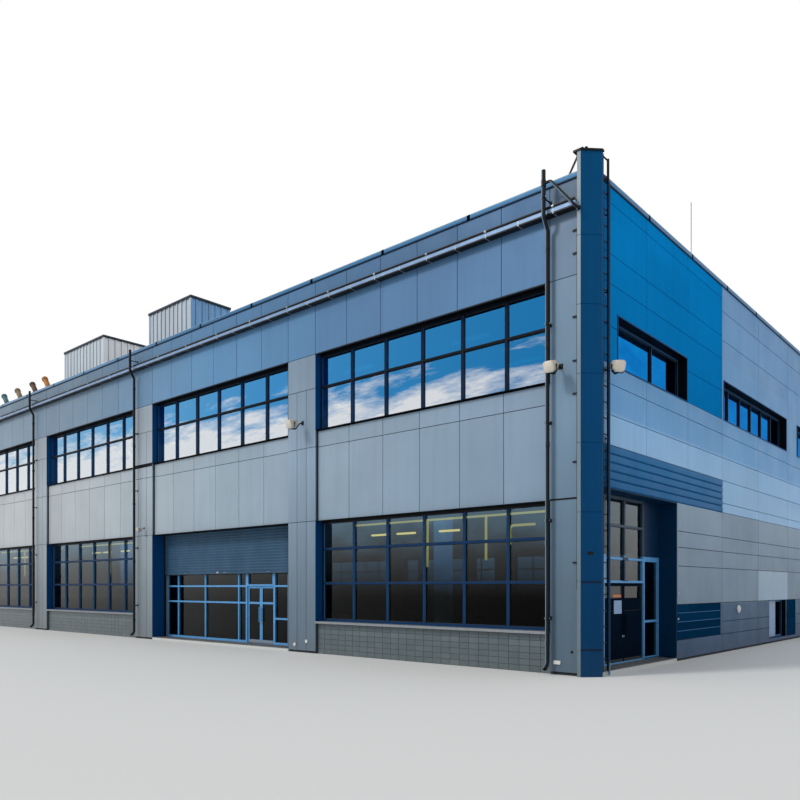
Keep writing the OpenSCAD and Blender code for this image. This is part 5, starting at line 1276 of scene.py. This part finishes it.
def wall_fittings():
    """Small things on the walls: outlets at the foot of the cladding, a round bulkhead lamp, latch
    plates and an edge trim at the recess, a pale threshold, the laps of the navy sheets, a pale board
    over the near pane of the hatch, and on the pier a bare dark plate and the cover strips of its
    lower joints."""
    laps = np.array([0.83, 1.08, 1.33])
    joints = np.array([0.62, 2.16])
    strip = np.stack([on_chamfer(a, out, joints[:, None] + [-0.012, 0.012]) for a, out in
                      ((-0.24, 0.001), (-0.24, 0.005), (0.24, 0.005), (0.24, 0.001))], axis=2)
    plate = np.stack([on_chamfer(a, out, np.array([[2.79, 2.86]])) for a, out in
                      ((-0.09, 0.001), (-0.086, 0.008), (0.046, 0.008), (0.05, 0.001))], axis=2)
    surfaces = [
        front_boxes(np.array([10.22, 9.66, 0.81]), np.array([10.32, 9.76, 1.0]), 0, 0.03,
                    np.array([0.19, 0.31, 0.24]), np.array([0.29, 0.41, 0.33]), 0.008, 0),
        turned([(0, 0.13), (0.03, 0.13), (0.04, 0.12), (0.06, 0.09), (0.07, 0.05), (0.073, 0.008)],
               on_side(10.2, 0, 1.33), (1, 0, 0), 32, 0),
        turned([(0, 0.14), (0.012, 0.14), (0.014, 0.13)], on_side(10.2, 0, 1.33), (1, 0, 0), 32, 1),
        turned([(0, 0.035), (0.004, 0.035), (0.004, 0.02)], on_front(0.522, 0, 0.548), (0, -1, 0), 24, 2),
        side_boxes(4.97, 5.05, 0.012, 0.03, np.array([1.14, 1.85]), np.array([1.2, 1.91]), 0.004, 1),
        side_boxes(4.962, 5.03, 0.0, 0.01, 1.58, 4.385, 0.004, 3),
        side_boxes(1.62, 4.87, -0.538, -0.5, 0.1, 0.135, 0.006, 4),
        side_boxes(4.98, 8.48, 0.0, 0.006, laps - 0.012, laps + 0.012, 0.003, 5),
        side_boxes(HATCH_V + 0.04, HATCH_V + 1.28, -0.149, -0.141, HATCH_FOOT + 0.04,
                   HATCH_HEAD - 0.04, 0.003, 6),
        skinned(strip, finish=2), skinned(plate, finish=2),
    ]
    return build("wall_fittings", surfaces, ["white", "pale_trim", "black", "pale", "light_frame", "lap",
                                             "plate"])


HOUSINGS = ((20.5, 23.9, 2.0), (28.3, 32.6, 2.8))  # both sides along the front, and the depth
HOUSING_IN = 2.85  # from the cladding of the front back to the housings


def housing_trims():
    """Folded corner angles, a drip edge under the cap, a flashing round the curb and a louvre on the
    left side of each plant housing."""
    surfaces = []
    for u0, u1, deep in HOUSINGS:
        in0, in1 = HOUSING_IN, HOUSING_IN + deep
        foot, top = DECK_Z + 0.15, DECK_Z + 3.84
        u = np.array([u0, u1, u0, u1])
        out = -np.array([in0, in0, in1, in1])
        surfaces.append(front_boxes(u - 0.034, u + 0.034, out - 0.034, out + 0.034, foot, top, 0.004, 0))
        surfaces.append(mitred(on_roof, u0 - 0.055, u1 + 0.055, -in1 - 0.055,
                               -in0 + 0.055, [(0, top - 0.05), (0.006, top - 0.05), (0.006, top),
                                              (0, top)], 1))
        surfaces.append(mitred(on_roof, u0 - 0.12, u1 + 0.12, -in1 - 0.12,
                               -in0 + 0.12, [(0, DECK_Z), (0.12, DECK_Z + 0.01), (0.12, DECK_Z + 0.2),
                                             (0.085, DECK_Z + 0.2), (0.085, DECK_Z + 0.06)], 2))
        z = np.arange(DECK_Z + 1.2, DECK_Z + 2.7, 0.12)
        blade = np.array([(0.0, 0.0), (0.07, -0.09), (0.075, -0.086), (0.005, 0.004)])
        grid = np.empty((len(z), 2, 4, 3))
        grid[..., 0] = RIGHT_X - u1 - 0.03 - blade[None, None, :, 0]
        grid[..., 1] = FRONT_Y + in0 + np.array([0.3, deep - 0.3])[None, :, None]
        grid[..., 2] = z[:, None, None] + blade[None, None, :, 1]
        surfaces.append(skinned(grid, finish=1))
        x = RIGHT_X - u1 - 0.03
        frame_low, frame_high = FRONT_Y + in0 + 0.25, FRONT_Y + in1 - 0.25
        surfaces.append(mitred(lambda a, q, b: spots(x - q, a, b),
                               frame_low, frame_high, DECK_Z + 1.05, DECK_Z + 2.75,
                               [(0, 0), (0.05, 0), (0.05, 0.09), (0, 0.09)], 0))
    return build("housing_trims", surfaces, ["housing", "black", "roof"])


COWLS = ((30.6, "cowl_orange"), (32.1, "cowl_brown"), (34.0, "cowl_tan"), (35.8, "cowl_teal"))
COWL_R, COWL_LEAN = 0.125, math.radians(42)


def exhaust_cowls():
    """Open exhaust pipes: a tube up from its flange, bent over by 42 degrees, with a wider collar at
    the mouth, a storm band and bolts round the flange."""
    lean = np.array([-math.sin(COWL_LEAN), 0, math.cos(COWL_LEAN)])
    ring = np.arange(8) * math.pi / 4
    surfaces = []
    for number, (u, _) in enumerate(COWLS):
        foot = on_front(u, -1.06, DECK_Z)
        bend = foot + (0, 0, 1.38)
        mouth = bend + 0.48 * lean
        route = rounded([foot, bend, mouth], 0.2, 10)
        bolts = foot + spots(0.165 * np.cos(ring), 0.165 * np.sin(ring), 0.05)
        surfaces += [
            pipe(route, COWL_R, 0.006, 28, up=(0, 1, 0), finish=number),
            pipe([mouth - 0.02 * lean, mouth + 0.1 * lean], 0.148, 0.02, 28, up=(0, 1, 0),
                 finish=number),
            turned([(0, 0.185), (0.02, 0.19), (0.05, 0.185), (0.06, 0.13)], foot, sides=28,
                   finish=number),
            turned(band(COWL_R, 0.008, 0.02), foot + (0, 0, 0.8), sides=28, finish=number),
            turned([(0, 0.011), (0.012, 0.011)], bolts, sides=6, finish=4),
        ]
    return build("exhaust_pipes", surfaces, [name for _, name in COWLS] + ["zinc"],
                 replaces=["exhaust_cowls"])


def roof_details():
    """Welded laps over the roof sheet, a sloping fillet round the parapet, rain outlets under domed
    gratings, and the base of the lightning rod."""
    x0, x1, y0, y1 = 0.4 - RIGHT_X, RIGHT_X - 0.4, FRONT_Y + 0.51, -FRONT_Y - 0.51
    x = np.arange(x0 + 1.2, x1, bpy.context.scene.factory_look.lap_pitch)
    laps = plates(spots(x - 0.03, y0, DECK_Z), spots(x + 0.03, y1, DECK_Z + 0.005), 0.004, 2, 1)
    fillet = mitred(lambda a, q, b: spots(a, b, q), x0, x1, y0, y1,
                    [(0, DECK_Z), (0.12, DECK_Z), (0.02, DECK_Z + 0.1), (0.02, DECK_Z + 0.35),
                     (0, DECK_Z + 0.35)])
    drains = np.array([(x, y, DECK_Z) for x in (-12.0, 0.0, 12.0) for y in (-4.0, 6.0)])
    dome = turned([(0, 0.2), (0.012, 0.2), (0.02, 0.12), (0.08, 0.11), (0.12, 0.07), (0.13, 0.01)],
                  drains, sides=20, finish=1)
    rod_foot = on_side(7.33, -0.48, DECK_Z)
    base = turned([(0, 0.14), (0.05, 0.14), (0.06, 0.13), (0.07, 0.02)], rod_foot, sides=24, finish=2)
    return build("roof_details", [laps, fillet, dome, base], ["roof", "black", "floor"])


def indoor_fittings():
    """Seen through the glass: round ventilation ducts under both ceilings with their collars, ribbed
    radiators under the ground windows, boxes for blinds over them, yellow pipes, lit tubes and a
    pale casing in the hall, and warm pendant lamps behind the entrance."""
    surfaces = []
    duct = bpy.context.scene.factory_look.duct_radius
    for z, out in ((4.85, -2.9), (10.0, -2.6)):
        ends = RIGHT_X - np.array([2.0, 36.9])
        route = spots(np.linspace(*ends, 36), FRONT_Y - out, z)
        surfaces.append(rod(route, duct, 20, finish=0))
        surfaces.append(turned(band(duct, 0.012, 0.02), route[::3], (1, 0, 0), 20, 0))
    for b in GROUND_BAYS:
        u = b + 0.25 + np.arange(0, 7.6, 0.11)
        surfaces.append(front_boxes(u, u + 0.08, -0.62, -0.54, 0.25, 0.85, 0.01, 1))
        surfaces.append(front_boxes(b + 0.1, b + BAY_W - 0.1, -0.6, -0.48, 3.95, 4.09, 0.01, 1))
    for b in GROUND_BAYS:
        rails = [[(b + 0.3, -1.5, 4.03), (b + 8.0, -1.5, 4.03)],
                 [(b + 2.9, -1.55, 4.03), (b + 2.9, -1.55, 2.8)],
                 [(b + 5.0, -1.55, 4.03), (b + 5.0, -1.55, 2.65)],
                 [(b + 1.37, -1.6, 3.72), (b + 2.15, -1.6, 3.72), (b + 2.15, -1.6, 3.2)]]
        for line in rails:
            line = on_front(*np.array(line).T)
            surfaces.append(rod(rounded(line, 0.12), 0.035, 12, up=(0, 1, 0), finish=4))
        tubes = b + np.array([4.2, 5.9, 7.0])
        surfaces.append(front_boxes(tubes, tubes + 0.75, -2.1, -2.02, 3.7, 3.76, 0.01, 3))
        surfaces.append(front_boxes(b + 4.85, b + 5.3, -2.6, -2.2, 0.11, 5.2, 0.02, 5))
    lamps = on_front(np.array([12.2, 13.6, 15.4, 17.2]), -2.0, 2.75)
    surfaces.append(turned([(0.0, 0.17), (0.02, 0.16), (0.1, 0.09), (0.16, 0.03), (0.18, 0.012),
                            (2.7, 0.008)], lamps, sides=20, finish=2))
    surfaces.append(turned([(-0.05, 0.01), (-0.04, 0.05), (0.0, 0.07), (0.02, 0.05)], lamps, sides=16,
                           finish=3))
    return build("indoor_fittings", surfaces, ["zinc", "white", "black", "glow", "yellow", "casing"])


# Operators

EYE, EYE_TURN = (27.383, -28.781), math.asin(0.6618)  # from the photograph's two vanishing points


class FACTORY_OT_stage(bpy.types.Operator):
    """Floor, sky, sun and the camera at the photograph's viewing angle"""
    bl_idname = "factory.stage"
    bl_label = "Stage"

    def execute(self, context):
        look = context.scene.factory_studio
        camera = bpy.data.objects.new("camera", bpy.data.cameras.new("camera"))
        camera.data.lens, camera.data.sensor_width = look.lens, 36
        camera.data.shift_y = look.shift_y
        camera.data.clip_end = 2000
        camera.location = (*EYE, look.eye_height)
        camera.rotation_euler = (math.radians(90), 0, EYE_TURN)
        sun = bpy.data.objects.new("soft_sun", bpy.data.lights.new("soft_sun", "SUN"))
        sun.data.energy, sun.data.angle = look.sun, math.radians(12)
        sun.data.color = (1.0, 0.97, 0.93)
        sun.rotation_euler = (math.radians(52), 0, math.radians(-28))
        for thing in (camera, sun):
            context.collection.objects.link(thing)
        context.scene.camera = camera
        self.sky(context.scene, look)
        self.floor(look)
        context.scene.view_settings.view_transform = "Standard"
        return {"FINISHED"}

    def sky(self, scene, look):
        scene.world = bpy.data.worlds.new("studio_sky")
        scene.world.use_nodes = True
        tree = scene.world.node_tree
        lit = tree.nodes["Background"]
        feed(tree, lit, (0.93, 0.96, 1.0, 1), look.sky)
        path = add(tree, "LightPath").node.outputs
        seen = add(tree, "Math", path["Is Glossy Ray"], path["Is Transmission Ray"], operation="MAXIMUM")
        seen = add(tree, "Math", path["Is Camera Ray"], seen, operation="MAXIMUM")
        shown = add(tree, "MixShader", seen, lit.outputs[0], add(tree, "Background", "#ffffff"))
        feed(tree, tree.nodes["World Output"], shown)

    def floor(self, look):
        """A disc: rings at growing radii round the origin."""
        radii = np.array([30.0, 60, 120, 240, 500])
        rings = radii[:, None, None] * circle(1, 64)[None]
        points = np.concatenate([rings, np.full((5, 64, 1), -0.002)], axis=2)
        ring, k = np.arange(4)[:, None] * 64, np.arange(64)
        quads = np.stack([ring + k, ring + 64 + k, ring + 64 + (k + 1) % 64, ring + (k + 1) % 64],
                         axis=-1)
        mesh = bpy.data.meshes.new("floor")
        mesh.from_pydata(points.reshape(-1, 3).tolist(), [],
                         [k.tolist()] + quads.reshape(-1, 4).tolist())
        material, tree, shader, coords = start("pale_studio_floor", Base_Color=look.floor, Roughness=0.9)
        far = add(tree, "MapRange", add(tree, "VectorMath", coords, operation="LENGTH"), 45, 160, 0, 1)
        shown = add(tree, "MixShader", far, shader.outputs[0], add(tree, "Emission", Strength=1.0))
        feed(tree, tree.nodes["Material Output"], shown)
        mesh.materials.append(material)
        floor = bpy.data.objects.new("floor", mesh)
        bpy.context.collection.objects.link(floor)


class FACTORY_OT_finishes(bpy.types.Operator):
    """Finishes of every part of the frame"""
    bl_idname = "factory.finishes"
    bl_label = "Finishes"

    def execute(self, context):
        finish_all(context.scene.factory_look)
        return {"FINISHED"}


def operator_for(name, label, doc, *makers):
    """An operator class that makes one group of like pieces."""
    def execute(self, context):
        for maker in makers:
            maker()
        return {"FINISHED"}
    return type("FACTORY_OT_" + name, (bpy.types.Operator,),
                {"bl_idname": "factory." + name, "bl_label": label, "__doc__": doc,
                 "execute": execute})


class FACTORY_PT_pieces(bpy.types.Panel):
    """Lists the pieces"""
    bl_label = "Factory building"
    bl_idname = "FACTORY_PT_pieces"
    bl_space_type = "VIEW_3D"
    bl_region_type = "UI"
    bl_category = "Factory"

    def draw(self, context):
        for operator in OPERATORS:
            self.layout.operator(operator.bl_idname)
        for group, holder in ((FactoryStudio, context.scene.factory_studio),
                              (FactoryLook, context.scene.factory_look)):
            for key in group.__annotations__:
                self.layout.prop(holder, key)


OPERATORS = (FACTORY_OT_stage, FACTORY_OT_finishes) + tuple(operator_for(*row) for row in (
    ("dado_tiles", "Dado tiles", "Tiles under the ground-floor windows", dado_tiles),
    ("rainwater", "Rainwater goods", "Downpipes and gutter straps", rainwater_pipes, gutter_straps),
    ("coping", "Coping", "Cover strips of the coping", coping_covers),
    ("glazing", "Glazing", "Gaskets and pressure caps of every window", glazing),
    ("flashings", "Flashings", "Drip strips and sills of the windows", flashings),
    ("shutter", "Shutter", "Seal, handles and guides of the roller shutter", shutter_fittings),
    ("doors", "Doors", "Furniture of the four door leaves", door_furniture),
    ("lamps", "Lamps", "Floodlights on the walls", floodlights),
    ("ladder", "Ladder", "Collars, plates and caps of the ladder", ladder_fittings),
    ("walls", "Wall fittings", "Outlets, bulkhead lamp, latch plates and trims", wall_fittings),
    ("roof", "Roof", "Exhaust pipes, housing trims and roof details", exhaust_cowls, housing_trims,
     roof_details),
    ("indoors", "Indoor fittings", "Ducts, radiators, blind boxes and pendant lamps",
     indoor_fittings)))
CLASSES = (FactoryStudio, FactoryLook) + OPERATORS + (FACTORY_PT_pieces,)


def register():
    for cls in CLASSES:
        bpy.utils.register_class(cls)
    bpy.types.Scene.factory_studio = bpy.props.PointerProperty(type=FactoryStudio)
    bpy.types.Scene.factory_look = bpy.props.PointerProperty(type=FactoryLook)


def unregister():
    del bpy.types.Scene.factory_look
    del bpy.types.Scene.factory_studio
    for cls in reversed(CLASSES):
        bpy.utils.unregister_class(cls)


def main():
    register()
    for operator in OPERATORS:
        getattr(bpy.ops.factory, operator.bl_idname.split(".")[1])()


if __name__ == "__main__":
    main()
